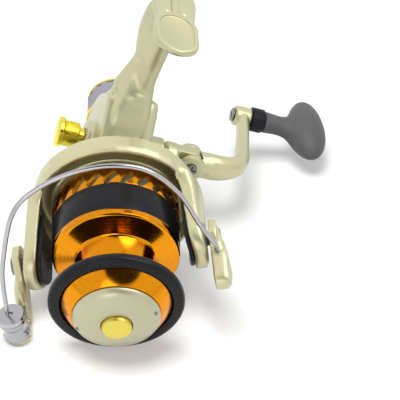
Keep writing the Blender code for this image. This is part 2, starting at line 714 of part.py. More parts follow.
def make_oscillation(body, cover):
    """Spur pair under the cover, an eccentric pin, and the slider that carries the main shaft."""
    distance = OSC_MODULE * (OSC_DRIVE_TEETH + OSC_TEETH) / 2
    angle = math.radians(OSC_ANGLE)
    osc_y = CRANK_Y + distance * math.cos(angle)
    osc_z = CRANK_Z + distance * math.sin(angle)
    osc_axis = axis_empty("oscillation_axis", (0, osc_y, osc_z), parent=reel_axis)
    low, high = OSC_X - OSC_GEAR_THICK / 2, OSC_X + OSC_GEAR_THICK / 2
    spur("oscillation_drive_gear", OSC_DRIVE_TEETH, OSC_MODULE, low, high,
         DRIVE_SHAFT_RADIUS + SEAT_GAP, BRASS, drive_axis, angle)
    meet = angle + math.pi + math.pi / OSC_TEETH
    wheel = spur("oscillation_gear", OSC_TEETH, OSC_MODULE, low, high, STUD_RADIUS + SEAT_GAP, NYLON,
                 osc_axis, meet)
    # the eccentric pin stops short of the slider's slot, where the crank loop is opened
    pin_end = SLIDER_HALF + SEAT_GAP
    eccentric = stroke / 2
    combine(wheel, rod(PIN_RADIUS, pin_end, OSC_X, "X", (0, eccentric, 0), 12), "UNION")
    combine(cover, rod(STUD_RADIUS, low, HOUSING_RIGHT - HOUSING_WALL / 2, "X", (0, osc_y, osc_z), 16),
            "UNION")
    top = CRANK_Z - DRIVE_SHAFT_RADIUS - RUN_GAP
    slider = piece("oscillation_slider", block(
        (-SLIDER_HALF, SLIDER_Y - SLIDER_LENGTH / 2, GUIDE_Z - 2 * GUIDE_RADIUS),
        (SLIDER_HALF, SLIDER_Y + SLIDER_LENGTH / 2, top)), NYLON, reel_axis)
    combine(slider, rod(SHAFT_RADIUS + SEAT_GAP, 0, SHAFT_REAR_Y), "DIFFERENCE")
    combine(slider, rod(GUIDE_RADIUS + SEAT_GAP, 0, SHAFT_REAR_Y, "Y", (0, 0, GUIDE_Z), 16), "DIFFERENCE")
    combine(slider,
            block((SHAFT_RADIUS + 2 * SEAT_GAP, SLIDER_Y - PIN_RADIUS - SEAT_GAP,
                   GUIDE_Z - 4 * GUIDE_RADIUS),
                          (2 * SLIDER_HALF, SLIDER_Y + PIN_RADIUS + SEAT_GAP, 2 * top)), "DIFFERENCE")
    guide_low = HOUSING_FRONT_Y + HOUSING_WALL / 2
    guide_high = BELLY_REAR_Y + BELLY_RADIUS - HOUSING_WALL / 2
    combine(body, rod(GUIDE_RADIUS + SEAT_GAP, guide_low, guide_high, "Y", (0, 0, GUIDE_Z), 16),
            "DIFFERENCE")
    piece("slider_guide",
          rod(GUIDE_RADIUS, guide_low + SEAT_GAP, guide_high - SEAT_GAP, "Y", (0, 0, GUIDE_Z), 16),
          STEEL, reel_axis)


def make_main_shaft():
    """Main shaft with the spool's seat in front and collars either side of the slider."""
    ahead = SLIDER_Y - SLIDER_LENGTH / 2 - SEAT_GAP
    behind = SLIDER_Y + SLIDER_LENGTH / 2 + SEAT_GAP
    collar = SHAFT_RADIUS + COLLAR_STEP
    front = BUTTON_TRAVEL + LATCH_DEPTH - CAP_FRONT + SEAT_GAP
    piece("main_shaft", turned([
        (0, front), (SHAFT_RADIUS, front), (SHAFT_RADIUS, ahead - COLLAR_LENGTH),
        (collar, ahead - COLLAR_LENGTH),
        (collar, ahead), (SHAFT_RADIUS, ahead), (SHAFT_RADIUS, SHAFT_REAR_Y), (0, SHAFT_REAR_Y),
    ], steps=16), STEEL, reel_axis)
    piece("shaft_clip", ring(SHAFT_RADIUS + SEAT_GAP, collar, behind, behind + COLLAR_LENGTH / 2, steps=16),
          STEEL, reel_axis)


def make_spool():
    """Line spool: lip, neck, rim and a vented skirt round the rotor's drum."""
    inner = RIM_Y - SPOOL_WEB
    chamfer = (LIP_BORE - CAP_RADIUS) * 0.8
    spool = piece("spool", turned([
        (SHAFT_RADIUS + SEAT_GAP, LIP_THICK), (CAP_RADIUS - SEAT_GAP, LIP_THICK),
        (CAP_RADIUS - SEAT_GAP, -chamfer),
        (CAP_RADIUS + SEAT_GAP * 2, -chamfer), (LIP_BORE - SEAT_GAP, 0),
        (LIP_BORE - SEAT_GAP, LIP_THICK + SEAT_GAP),
        (LIP_RADIUS - SPOOL_WEB / 3, LIP_THICK + SEAT_GAP),
        (LIP_RADIUS - SPOOL_WEB, LIP_THICK + SPOOL_WEB / 2),
        (NECK_RADIUS, LIP_THICK + SPOOL_WEB), (NECK_RADIUS, inner - SPOOL_WEB / 3),
        (NECK_RADIUS + SPOOL_WEB / 3, inner), (RIM_RADIUS - SPOOL_WEB / 2, inner + SPOOL_WEB / 4),
        (RIM_RADIUS, RIM_Y - SPOOL_WEB / 2),
        (RIM_RADIUS, RIM_Y), (SKIRT_RADIUS, SKIRT_Y), (SKIRT_RADIUS - SKIRT_WALL, SKIRT_Y),
        (RIM_RADIUS - SKIRT_WALL, RIM_Y), (SHAFT_RADIUS + SEAT_GAP, RIM_Y),
    ], steps=SPOOL_ROUND), ORANGE, reel_axis)
    middle = SKIRT_Y - VENT_LENGTH / 2 - SKIRT_WALL * 1.6
    for index in range(VENT_COUNT):
        turn = Matrix.Rotation(2 * math.pi * index / VENT_COUNT, 4, "Y")
        slant = Matrix.Rotation(math.radians(VENT_SLANT), 4, "X")
        straight = (VENT_LENGTH - VENT_WIDTH) / 2
        outline = arc((straight, 0), VENT_WIDTH / 2, -90, 90, 3)
        outline += arc((-straight, 0), VENT_WIDTH / 2, 90, 270, 3)
        cutter = prism(outline, SKIRT_RADIUS - 3 * SKIRT_WALL, SKIRT_RADIUS + SKIRT_WALL)
        cutter.transform(turn @ Matrix.Translation((0, middle, 0)) @ slant)
        combine(spool, cutter, "DIFFERENCE")
    piece("spool_lip_ring", turned([
        (LIP_BORE, 0), (LIP_BORE + SPOOL_WEB / 6, -SPOOL_WEB / 6),
        (LIP_RADIUS - SPOOL_WEB / 3, -SPOOL_WEB / 6),
        (LIP_RADIUS, SPOOL_WEB / 4), (LIP_RADIUS, LIP_THICK - SPOOL_WEB / 4),
        (LIP_RADIUS - SPOOL_WEB / 4, LIP_THICK),
        (LIP_BORE, LIP_THICK),
    ], steps=SPOOL_ROUND), BLACK, reel_axis)
    cap_back = LIP_THICK - SEAT_GAP
    well = LATCH_DEPTH - CAP_FRONT + BUTTON_TRAVEL
    hole = BUTTON_RADIUS + SEAT_GAP
    piece("spool_cap", turned([
        (SHAFT_RADIUS + SEAT_GAP, cap_back), (CAP_RADIUS - 2 * SEAT_GAP, cap_back),
        (CAP_RADIUS - 2 * SEAT_GAP, -chamfer - SEAT_GAP), (CAP_RADIUS, -chamfer - SEAT_GAP),
        (CAP_RADIUS - SPOOL_WEB / 8, SPOOL_WEB / 2 - CAP_FRONT), (CAP_RADIUS - SPOOL_WEB / 2, -CAP_FRONT),
        (CAP_DISH, SPOOL_WEB / 6 - CAP_FRONT), (hole, SPOOL_WEB / 3 - CAP_FRONT), (hole, well),
        (SHAFT_RADIUS + SEAT_GAP, well),
    ]), CHAMPAGNE, reel_axis)
    piece("spool_button", turned([
        (0, -BUTTON_FRONT), (BUTTON_RADIUS - SEAT_GAP * 3, -BUTTON_FRONT),
        (BUTTON_RADIUS, SEAT_GAP * 3 - BUTTON_FRONT),
        (BUTTON_RADIUS, well - BUTTON_TRAVEL - SEAT_GAP), (0, well - BUTTON_TRAVEL - SEAT_GAP),
    ]), GOLD, reel_axis)


def arm_outline(end_radius, root_half, front_shift):
    """An arm seen square on: a round end at the bail pivot, widening to the rotor ring."""
    end = arc((PIVOT_Y + front_shift, 0), end_radius, 100, 260, 10)
    root = RING_FRONT_Y + RING_WALL
    return end + [(RING_FRONT_Y - ARM_THICK, -root_half * 0.8), (root, -root_half), (root, root_half),
                  (RING_FRONT_Y - ARM_THICK, root_half * 0.8)]


def make_rotor():
    """Drum, back plate and ring, with two arms taken from a tube round the spool axis."""
    web_back = ROTOR_WEB_Y + ROTOR_WEB
    back = ROTOR_BACK_Y
    rotor = piece("rotor", turned([
        (PINION_SLEEVE_RADIUS + SEAT_GAP, ROTOR_WEB_Y), (DRUM_RADIUS - DRUM_WALL, ROTOR_WEB_Y),
        (DRUM_RADIUS - DRUM_WALL, DRUM_FRONT_Y), (DRUM_RADIUS, DRUM_FRONT_Y),
        (DRUM_RADIUS, shoulder_y), (SHOULDER_RADIUS, shoulder_y),
        (SHOULDER_RADIUS, back - RING_WALL), (ring_radius - RING_WALL, back - RING_WALL),
        (ring_radius - RING_WALL, RING_FRONT_Y), (ring_radius - RING_WALL / 3, RING_FRONT_Y),
        (ring_radius, RING_FRONT_Y + RING_WALL), (ring_radius, back - RING_WALL),
        (ring_radius - RING_WALL, back),
        (DRUM_RADIUS - DRUM_WALL, back), (DRUM_RADIUS - DRUM_WALL, web_back),
        (PINION_SLEEVE_RADIUS + SEAT_GAP, web_back),
    ], steps=SPOOL_ROUND), CHAMPAGNE, rotor_axis)
    for side in (-1, 1):
        arm = piece("arm",
                    ring(ARM_RADIUS - ARM_THICK, ARM_RADIUS, 0, ROTOR_BACK_Y - RING_WALL, steps=ARM_ROUND),
                    CHAMPAGNE, rotor_axis)
        low, high = sorted((0, side * 2 * ARM_RADIUS))
        combine(arm, prism(arm_outline(ARM_END_RADIUS, ARM_ROOT_HALF, 0), low, high), "INTERSECT")
        combine(rotor, taken(arm), "UNION")
        low, high = sorted((side * ARM_RADIUS / 2, side * 2 * ARM_RADIUS))
        combine(rotor, rod(PIVOT_RADIUS + SEAT_GAP, low, high, "X", (0, PIVOT_Y, 0), 16), "DIFFERENCE")
    for side, name in ((-1, "arm_cover_left"), (1, "arm_cover_right")):
        outer = ARM_RADIUS - ARM_THICK - SEAT_GAP
        cover = piece(name, ring(outer - ARM_COVER, outer, 0, ROTOR_BACK_Y - RING_WALL, steps=ARM_ROUND),
                      BLACK, rotor_axis)
        low, high = sorted((0, side * 2 * ARM_RADIUS))
        outline = [(y, z) for y, z in arm_outline(ARM_END_RADIUS - ARM_COVER, ARM_END_RADIUS, 0)
                   if y < RING_FRONT_Y - ARM_THICK / 2]
        combine(cover, prism(outline, low, high), "INTERSECT")
    nut = piece("rotor_nut", rod(NUT_RADIUS, NUT_FRONT_Y, ROTOR_WEB_Y - SEAT_GAP, steps=6), STEEL,
                rotor_axis)
    combine(nut, rod(PINION_SLEEVE_RADIUS + SEAT_GAP, 0, ROTOR_WEB_Y), "DIFFERENCE")


def make_bail():
    """Bail arms outside the rotor arms, the wire between them and the roller that guides the line."""
    inner = ARM_RADIUS + RUN_GAP * 2
    outer = inner + BAIL_PLATE
    roller_y = ROLLER_Y - PIVOT_Y
    cup_top = ROLLER_MID_Z - ROLLER_LENGTH / 2 - SEAT_GAP
    cup_low = cup_top - CUP_THICK
    hub = ARM_END_RADIUS * 0.72
    outline = arc((0, 0), hub, -60, 110, 8)
    outline += [(roller_y + ROLLER_RADIUS * 2.1, cup_top + hub), (roller_y + ROLLER_RADIUS * 1.25, cup_top),
                (roller_y - ROLLER_RADIUS * 0.6, cup_top), (roller_y - ROLLER_RADIUS * 0.6, cup_low),
                (roller_y + ROLLER_RADIUS * 2, cup_low)]
    left = piece("bail_arm_roller_side", prism(outline, -outer, -inner), CHAMPAGNE, bail_axis)
    combine(left, rod(ROLLER_RADIUS, cup_low, cup_top, "Z", (-roller_u, roller_y, 0)), "UNION")
    combine(left,
            rod(AXLE_RADIUS + SEAT_GAP, cup_low - CUP_THICK, cup_top + CUP_THICK, "Z",
                (-roller_u, roller_y, 0), 16),
            "DIFFERENCE")
    combine(left, rod(PIVOT_RADIUS + SEAT_GAP, -2 * outer, 0, "X", steps=16), "DIFFERENCE")
    top = ROLLER_MID_Z + ROLLER_LENGTH / 2 + SEAT_GAP
    groove = ROLLER_RADIUS * 0.72
    bore = AXLE_RADIUS + SEAT_GAP
    low = cup_top + SEAT_GAP
    high = top - SEAT_GAP
    middle = (low + high) / 2
    piece("line_roller", turned([
        (ROLLER_RADIUS, low), (groove, middle - ROLLER_LENGTH / 8), (groove, middle + ROLLER_LENGTH / 8),
        (ROLLER_RADIUS, high), (bore, high), (bore, low),
    ], "Z", (-roller_u, roller_y, 0)), CHROME, bail_axis)
    end_y = WIRE_END_Y - PIVOT_Y
    route = [
        Vector((-roller_u - WIRE_RADIUS, roller_y, top + CUP_THICK / 2)),
        *(Vector((roller_u * reach, roller_y * lead, BAIL_HEIGHT * height))
          for reach, lead, height in BAIL_ROUTE),
        Vector((outer - BAIL_PLATE * 0.2, end_y, WIRE_END_Z + 3 * WIRE_RADIUS)),
        Vector((outer - BAIL_PLATE * 0.2, end_y, WIRE_END_Z + SEAT_GAP)),
    ]
    path = smooth_path(route, 3)
    wire = piece("bail_wire", tube(path, WIRE_RADIUS, 8), STEEL, bail_axis)
    combine(wire, turned([
        (0, cup_low), (AXLE_RADIUS, cup_low), (AXLE_RADIUS, top), (ROLLER_RADIUS, top),
        (ROLLER_RADIUS * 0.9, top + CUP_THICK * 0.8), (0, top + CUP_THICK * 0.8),
    ], "Z", (-roller_u, roller_y, 0), 16), "UNION")
    front = roller_y - WIRE_RADIUS
    right_outline = arc((0, 0), hub, -40, 130, 8)
    right_outline += [(end_y + 2 * WIRE_RADIUS, WIRE_END_Z - SEAT_GAP),
                      (front + hub / 2, WIRE_END_Z - hub / 2),
                      (front + hub / 2, -hub * 0.9)]
    right = piece("bail_arm_free_side", prism(right_outline, inner, outer), CHAMPAGNE, bail_axis)
    thick = outer + BAIL_END
    end_circles = [(end_y - WIRE_RADIUS, WIRE_END_Z - SEAT_GAP - hub * 0.6, hub * 0.6),
                   (front + hub * 0.5, WIRE_END_Z - hub * 0.8, hub * 0.5)]
    slim = [(y, z, radius - WIRE_RADIUS) for y, z, radius in end_circles]
    combine(right,
            hulled([(inner + SEAT_GAP, end_circles), (thick - WIRE_RADIUS, end_circles),
                    (thick, slim)]), "UNION")
    combine(right, rod(PIVOT_RADIUS + SEAT_GAP, 0, 2 * outer, "X", steps=16), "DIFFERENCE")
    for side, name in ((-1, "bail_pivot_left"), (1, "bail_pivot_right")):
        depth = side * (ARM_RADIUS - ARM_THICK + SEAT_GAP)
        face = side * (outer + SEAT_GAP)
        head = side * (outer + SEAT_GAP + PIVOT_HEAD)
        piece(name, turned([
            (0, depth), (PIVOT_RADIUS, depth), (PIVOT_RADIUS, face), (PIVOT_RADIUS * 1.7, face),
            (PIVOT_RADIUS * 1.7, head), (0, head),
        ], "X", steps=16), STEEL, bail_axis)


def tube(path, radius, count):
    """A round wire along a path, with rings carried forward without twist."""
    rings = []
    across = None
    for index, here in enumerate(path):
        ahead = (path[min(index + 1, len(path) - 1)] - path[max(index - 1, 0)]).normalized()
        across = Vector((0, 1, 0)) if across is None else across
        across = (across - ahead * across.dot(ahead)).normalized()
        rings.append(ellipse(here, across * radius, ahead.cross(across) * radius, count))
    return skinned(rings)


def make_bearings():
    piece("pinion_bearing",
          ring(PINION_SLEEVE_RADIUS + SEAT_GAP, BEARING_RADIUS, BEARING_Y, BEARING_Y + BEARING_WIDTH,
                                 steps=SMALL_ROUND), STEEL, reel_axis)
    low = BEARING_Y - SEAT_GAP - CLUTCH_WIDTH
    piece("anti_reverse_clutch",
          ring(PINION_SLEEVE_RADIUS + SEAT_GAP, CLUTCH_RADIUS, low, low + CLUTCH_WIDTH,
                                      steps=SMALL_ROUND), BLACK, reel_axis)
    bore = DRIVE_SHAFT_RADIUS + SEAT_GAP
    right = boss_end - BOSS_LIP - SEAT_GAP
    piece("drive_bearing_right", ring(bore, DRIVE_BEARING_RADIUS, right - DRIVE_BEARING_WIDTH, right, "X",
                                      steps=SMALL_ROUND), STEEL, drive_axis)
    left = -HOUSING_LEFT - BOSS_LENGTH + BOSS_LIP + SEAT_GAP
    piece("drive_bearing_left", ring(bore, DRIVE_BEARING_RADIUS, left, left + DRIVE_BEARING_WIDTH, "X",
                                     steps=SMALL_ROUND), STEEL, drive_axis)


def make_drag():
    """Washers in the boss, keyed disc on the shaft, spring and the ribbed knob."""
    place = DRAG_FLOOR_Y + SEAT_GAP
    bore = SHAFT_RADIUS + RUN_GAP
    for name, look in (("drag_washer_inner", FELT), ("drag_disc", STEEL), ("drag_washer_outer", FELT)):
        inner = SHAFT_RADIUS + SEAT_GAP if name == "drag_disc" else bore
        piece(name, ring(inner, DRAG_BORE - SEAT_GAP, place, place + WASHER_THICK, steps=SMALL_ROUND),
              look, reel_axis)
        place += WASHER_THICK + SEAT_GAP
    knob_front = DRAG_COLLAR_Y + SEAT_GAP
    inside = DRAG_KNOB_REAR_Y - DRAG_KNOB_END
    spring_low = place
    spring_high = inside - SEAT_GAP
    turns, sides = 3, 6
    coil = []
    for step in range(turns * 12 + 1):
        angle = 2 * math.pi * step / 12
        length = spring_high - spring_low - 2 * SPRING_WIRE
        along = spring_low + SPRING_WIRE + length * step / (turns * 12)
        coil.append(Vector((SPRING_RADIUS * math.cos(angle), along, SPRING_RADIUS * math.sin(angle))))
    piece("drag_spring", tube(coil, SPRING_WIRE, sides), STEEL, reel_axis)
    bore = DRAG_BOSS_RADIUS + SEAT_GAP
    count = DRAG_RIBS * 4
    rib = DRAG_KNOB_WALL / 2

    def round_at(radius, y, ribbed=False):
        points = []
        for index in range(count):
            turn = 2 * math.pi * index / count
            cut = rib if ribbed and index % 4 in (2, 3) else 0.0
            points.append(Vector(((radius - cut) * math.cos(turn), y, (radius - cut) * math.sin(turn))))
        return points

    band = DRAG_KNOB_WALL * 1.4
    return piece("drag_knob", skinned([
        round_at(bore, inside), round_at(bore, knob_front), round_at(DRAG_KNOB_RADIUS - rib, knob_front),
        round_at(DRAG_KNOB_RADIUS - rib, knob_front + band),
        round_at(DRAG_KNOB_RADIUS, knob_front + band + rib, True),
        round_at(DRAG_KNOB_RADIUS, DRAG_KNOB_REAR_Y - band - rib, True),
        round_at(DRAG_KNOB_RADIUS - rib * 2, DRAG_KNOB_REAR_Y - band),
        round_at(DRAG_KNOB_RADIUS - rib * 3, DRAG_KNOB_REAR_Y),
    ]), DRAG_GREY, reel_axis)


def make_crank():
    """Hollow drive shaft, hinge base, folding arm, knob and the lock screw on the far side."""
    left = -HOUSING_LEFT - BOSS_LENGTH
    piece("drive_shaft",
          ring(LOCK_ROD_RADIUS + SEAT_GAP, DRIVE_SHAFT_RADIUS, left, BASE_INNER_X - SEAT_GAP, "X",
                              steps=SMALL_ROUND), STEEL, drive_axis)
    base = piece("handle_base", turned([
        (0, BASE_INNER_X), (BASE_RADIUS * 0.8, BASE_INNER_X), (BASE_RADIUS, BASE_INNER_X + FORK_CHEEK / 2),
        (BASE_RADIUS, base_outer - FORK_CHEEK / 2), (BASE_RADIUS * 0.86, base_outer), (0, base_outer),
    ], "X"), CHAMPAGNE, crank_axis)
    half = KNUCKLE_THICK / 2
    root = base_outer - FORK_CHEEK
    tongue = arc((FOLD_X, 0), KNUCKLE_RADIUS, -90, 90, 10)
    tongue += [(root, KNUCKLE_RADIUS), (root, -KNUCKLE_RADIUS)]
    combine(base, prism(tongue, -half, half, "Y"), "UNION")
    combine(base, rod(FOLD_PIN_RADIUS + SEAT_GAP, -BASE_RADIUS, BASE_RADIUS, "Y", (FOLD_X, 0, 0), 16),
            "DIFFERENCE")
    combine(base,
            rod(LOCK_ROD_RADIUS + SEAT_GAP, BASE_INNER_X - FORK_CHEEK, base_outer - FORK_CHEEK, "X",
                steps=16),
            "DIFFERENCE")

    # the arm's fork straddles the tongue, runs out along the shaft, then turns down the leg
    corner = ARM_CORNER_X - FOLD_X
    end = Vector((corner + HANDLE_LEAN, HANDLE_RADIUS, 0))
    bend = ARM_THICKNESS
    turn_start = Vector((corner - bend, 0, 0))
    leg = (end - Vector((corner, 0, 0))).normalized()
    turn_end = Vector((corner, 0, 0)) + leg * bend
    path = [Vector((0, 0, 0)), turn_start * 0.5, turn_start,
            Vector((corner - bend * 0.25, bend * 0.28, 0)), turn_end,
            turn_end + (end - turn_end) * 0.5, end]
    cheek = KNUCKLE_THICK / 2 + SEAT_GAP + FORK_CHEEK
    wide = [cheek * 0.97, cheek * 0.95, cheek * 0.8, ARM_THICKNESS * 0.66, ARM_THICKNESS * 0.58,
            ARM_THICKNESS / 2, ARM_THICKNESS / 2]
    tall = [KNUCKLE_RADIUS * 0.96, KNUCKLE_RADIUS * 0.97, KNUCKLE_RADIUS * 0.95, LEG_WIDTH * 0.6,
            LEG_WIDTH * 0.56, LEG_WIDTH * 0.46,
            LEG_WIDTH * 0.5]
    arm = piece("handle_arm", swept(path, wide, tall, 20), CHAMPAGNE, fold_axis)
    combine(arm, rod(KNUCKLE_RADIUS, -cheek, cheek, "Y"), "UNION")
    combine(arm, rod(KNOB_BOSS_RADIUS, end.x - ARM_THICKNESS * 0.7, KNOB_INNER_X - FOLD_X - SEAT_GAP, "X",
                     (0, HANDLE_RADIUS, 0)), "UNION")
    gap = KNUCKLE_THICK / 2 + SEAT_GAP
    reach = KNUCKLE_RADIUS + RUN_GAP
    slot = arc((0, 0), reach, 0, 90, 8) + [(-2 * reach, reach), (-2 * reach, -2 * reach),
                                           (reach, -2 * reach)]
    combine(arm, prism(slot, -gap, gap, "Y"), "DIFFERENCE")
    combine(arm, rod(FOLD_PIN_RADIUS + SEAT_GAP, -BASE_RADIUS, BASE_RADIUS, "Y", steps=16), "DIFFERENCE")
    combine(arm, rod(KNOB_AXLE_RADIUS + SEAT_GAP, 0, KNOB_INNER_X, "X", (0, HANDLE_RADIUS, 0), 16),
            "DIFFERENCE")
    piece("fold_pin", turned([
        (0, -cheek - FOLD_HEAD), (FOLD_PIN_RADIUS * 1.5, -cheek - FOLD_HEAD),
        (FOLD_PIN_RADIUS * 1.5, -cheek - SEAT_GAP),
        (FOLD_PIN_RADIUS, -cheek - SEAT_GAP), (FOLD_PIN_RADIUS, cheek), (0, cheek),
    ], steps=16), STEEL, fold_axis)

    knob = piece("handle_knob", skinned([
        ellipse((x, 0, 0), (0, a, 0), (0, 0, b),
                ROUND) for x, a, b in knob_sections()]), KNOB_GREY, knob_axis, 60.0)
    reach_x = KNOB_INNER_X + KNOB_LENGTH * 0.55
    combine(knob, rod(KNOB_AXLE_RADIUS + SEAT_GAP, KNOB_INNER_X, reach_x + SEAT_GAP, "X", steps=16),
            "DIFFERENCE")
    piece("knob_ferrule",
          ring(KNOB_AXLE_RADIUS + SEAT_GAP, FERRULE_RADIUS, KNOB_INNER_X, KNOB_INNER_X + FERRULE_LENGTH,
                               "X", steps=32), BLACK, knob_axis)
    head_x = FOLD_X + end.x - ARM_THICKNESS * 0.7
    piece("knob_axle", turned([
        (0, head_x - FOLD_HEAD), (KNOB_AXLE_RADIUS * 1.6, head_x - FOLD_HEAD),
        (KNOB_AXLE_RADIUS * 1.6, head_x - SEAT_GAP),
        (KNOB_AXLE_RADIUS, head_x - SEAT_GAP), (KNOB_AXLE_RADIUS, reach_x), (0, reach_x),
    ], "X", steps=16), STEEL, knob_axis)
    outer = left - SEAT_GAP
    piece("lock_screw", turned([
        (0, base_outer - FORK_CHEEK - SEAT_GAP), (LOCK_ROD_RADIUS, base_outer - FORK_CHEEK - SEAT_GAP),
        (LOCK_ROD_RADIUS, outer), (LOCK_SCREW_RADIUS * 0.62, outer),
        (LOCK_SCREW_RADIUS * 0.62, outer - LOCK_NECK),
        (LOCK_SCREW_RADIUS, outer - LOCK_NECK),
        (LOCK_SCREW_RADIUS, outer - LOCK_NECK - LOCK_SCREW_LENGTH * 0.62),
        (LOCK_SCREW_RADIUS * 1.2, outer - LOCK_NECK - LOCK_SCREW_LENGTH * 0.7),
        (LOCK_SCREW_RADIUS * 1.2, outer - LOCK_NECK - LOCK_SCREW_LENGTH * 0.92),
        (LOCK_SCREW_RADIUS, outer - LOCK_NECK - LOCK_SCREW_LENGTH),
        (0, outer - LOCK_NECK - LOCK_SCREW_LENGTH),
    ], "X"), GOLD, drive_axis)


def knob_sections():
    """Neck, waist and oval paddle along the knob's axle: (x, half height, half thickness)."""
    start = KNOB_INNER_X + FERRULE_LENGTH + SEAT_GAP
    neck_end = KNOB_INNER_X + KNOB_LENGTH * 0.47
    end = KNOB_INNER_X + KNOB_LENGTH + FERRULE_LENGTH
    sections = [(start, KNOB_NECK_RADIUS * 1.05, KNOB_NECK_RADIUS * 1.05),
                (start + (neck_end - start) * 0.5,
                KNOB_NECK_RADIUS * 0.94, KNOB_NECK_RADIUS * 0.94),
                (neck_end, KNOB_NECK_RADIUS * 1.1, KNOB_NECK_RADIUS)]
    span = end - neck_end
    for share in (0.12, 0.28, 0.45, 0.62, 0.78, 0.9, 0.97, 1.0):
        swell = math.sqrt(max(1 - (2 * min(share, 0.985) - 1) ** 2, 0))
        sections.append((neck_end + span * share, max(KNOB_HEAD_HALF * swell, KNOB_NECK_RADIUS * 0.6),
                         max(KNOB_HEAD_THICK * swell ** 0.8, KNOB_NECK_RADIUS * 0.6)))
    return sections


def make_lever():
    """Anti-reverse switch under the belly: a pin up into the case and a thumb tab."""
    under = BELLY_Z - BELLY_RADIUS - SEAT_GAP
    lever = piece("anti_reverse_lever", prism(
        arc((0, LEVER_Y), LEVER_WIDTH / 2, 180, 360, 8)
        + arc((0, LEVER_Y + LEVER_LENGTH), LEVER_WIDTH * 0.4, 0, 180, 8), under - LEVER_THICK, under, "Z"),
        BLACK, reel_axis)
    combine(lever,
            rod(LEVER_PIN_RADIUS, under - LEVER_THICK / 2, BELLY_Z - BELLY_RADIUS + 2 * HOUSING_WALL, "Z",
                       (0, LEVER_Y, 0), 16), "UNION")


body_frame = make_housing()
foot_pockets(body_frame)
side_cover = make_side_cover()
make_cover_screws(body_frame, side_cover)
make_bearings()
make_pinion()
make_drive_gear()
make_oscillation(body_frame, side_cover)
make_main_shaft()
make_spool()
make_rotor()
make_bail()
make_drag()
make_crank()
make_lever()
bpy.context.view_layer.update()
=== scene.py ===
"""Looks of the rear-drag spinning reel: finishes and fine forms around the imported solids.

The frame is the solids' own: origin on the foot's seat, +Z to the rod, -Y to the spool.
"""

import json
import math

import bpy
from mathutils import Matrix, Vector


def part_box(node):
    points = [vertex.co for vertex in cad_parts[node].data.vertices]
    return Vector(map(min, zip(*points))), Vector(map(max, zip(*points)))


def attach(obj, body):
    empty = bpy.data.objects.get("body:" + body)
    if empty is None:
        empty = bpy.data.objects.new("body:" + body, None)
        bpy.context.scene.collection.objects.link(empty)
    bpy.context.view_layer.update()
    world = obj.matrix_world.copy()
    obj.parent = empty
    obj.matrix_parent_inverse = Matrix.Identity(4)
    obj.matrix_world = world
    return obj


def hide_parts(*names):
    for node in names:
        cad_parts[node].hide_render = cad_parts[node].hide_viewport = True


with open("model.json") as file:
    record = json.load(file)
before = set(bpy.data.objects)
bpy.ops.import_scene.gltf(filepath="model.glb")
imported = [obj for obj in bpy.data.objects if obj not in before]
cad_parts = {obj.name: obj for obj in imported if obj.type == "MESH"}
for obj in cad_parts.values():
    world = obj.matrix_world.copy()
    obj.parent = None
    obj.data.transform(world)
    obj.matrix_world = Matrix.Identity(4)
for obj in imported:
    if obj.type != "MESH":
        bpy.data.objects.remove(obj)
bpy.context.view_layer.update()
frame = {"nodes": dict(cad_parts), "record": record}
bpy.ops.object.select_all(action="DESELECT")
scene = bpy.context.scene
scene.view_settings.view_transform = "Standard"


# Table, light and camera
# The reel lies on a white sheet, rolled onto the handle side, under a broad soft light.
# The sheet is thin, lets light through and has no back, so nothing hides under it.
class Tap:
    """One output of a shader node. Sums on taps add their Math nodes."""

    def __init__(self, tree, socket):
        self.tree = tree
        self.socket = socket

    def maths(self, operation, first, second):
        step = self.tree.nodes.new("ShaderNodeMath")
        step.operation = operation
        for slot, value in zip(step.inputs, (first, second)):
            if isinstance(value, Tap):
                self.tree.links.new(value.socket, slot)
            else:
                slot.default_value = value
        return Tap(self.tree, step.outputs[0])

    def __add__(self, other):
        return self.maths("ADD", self, other)

    def __rsub__(self, other):
        return self.maths("SUBTRACT", other, self)

    def __mul__(self, other):
        return self.maths("MULTIPLY", self, other)

    def __gt__(self, other):
        return self.maths("GREATER_THAN", self, other)

    def __lt__(self, other):
        return self.maths("LESS_THAN", self, other)

    def __or__(self, other):
        return self.maths("MAXIMUM", self, other)

    def __and__(self, other):
        return self.maths("MINIMUM", self, other)


class Finish:
    """A material: its Principled shader, and one method that adds any other node."""

    def __init__(self, name, **constants):
        self.material = bpy.data.materials.new(name)
        self.material.use_nodes = True
        self.tree = self.material.node_tree
        self.shader = self.tree.nodes["Principled BSDF"]
        for socket, value in constants.items():
            self.shader.inputs[socket.replace("_", " ")].default_value = value

    def node(self, kind, settings=(), output=0, **sockets):
        made = self.tree.nodes.new("ShaderNode" + kind)
        for field, value in dict(settings).items():
            setattr(made, field, value)
        for name, value in sockets.items():
            by_number = name[0] == "i" and name[1:].isdigit()
            slot = made.inputs[int(name[1:]) if by_number else name.replace("_", " ")]
            if isinstance(value, Tap):
                self.tree.links.new(value.socket, slot)
            else:
                slot.default_value = value
        return Tap(self.tree, made.outputs[output])

    def feed(self, socket, tap):
        self.tree.links.new(tap.socket, self.shader.inputs[socket])

    def place(self):
        return self.node("TexCoord", output="Object")

    def axis(self, point, letter):
        return self.node("SeparateXYZ", output="XYZ".index(letter), Vector=point)

    def noise(self, point, scale, detail=3.0):
        return self.node("TexNoise", Vector=point, Scale=scale, Detail=detail)

    def colours(self, share, first, second):
        return self.node("Mix", {"data_type": "RGBA"}, output=2, i0=share, i6=first, i7=second)

    def bump(self, height, strength, distance):
        self.feed("Normal", self.node("Bump", Height=height, Strength=strength, Distance=distance))


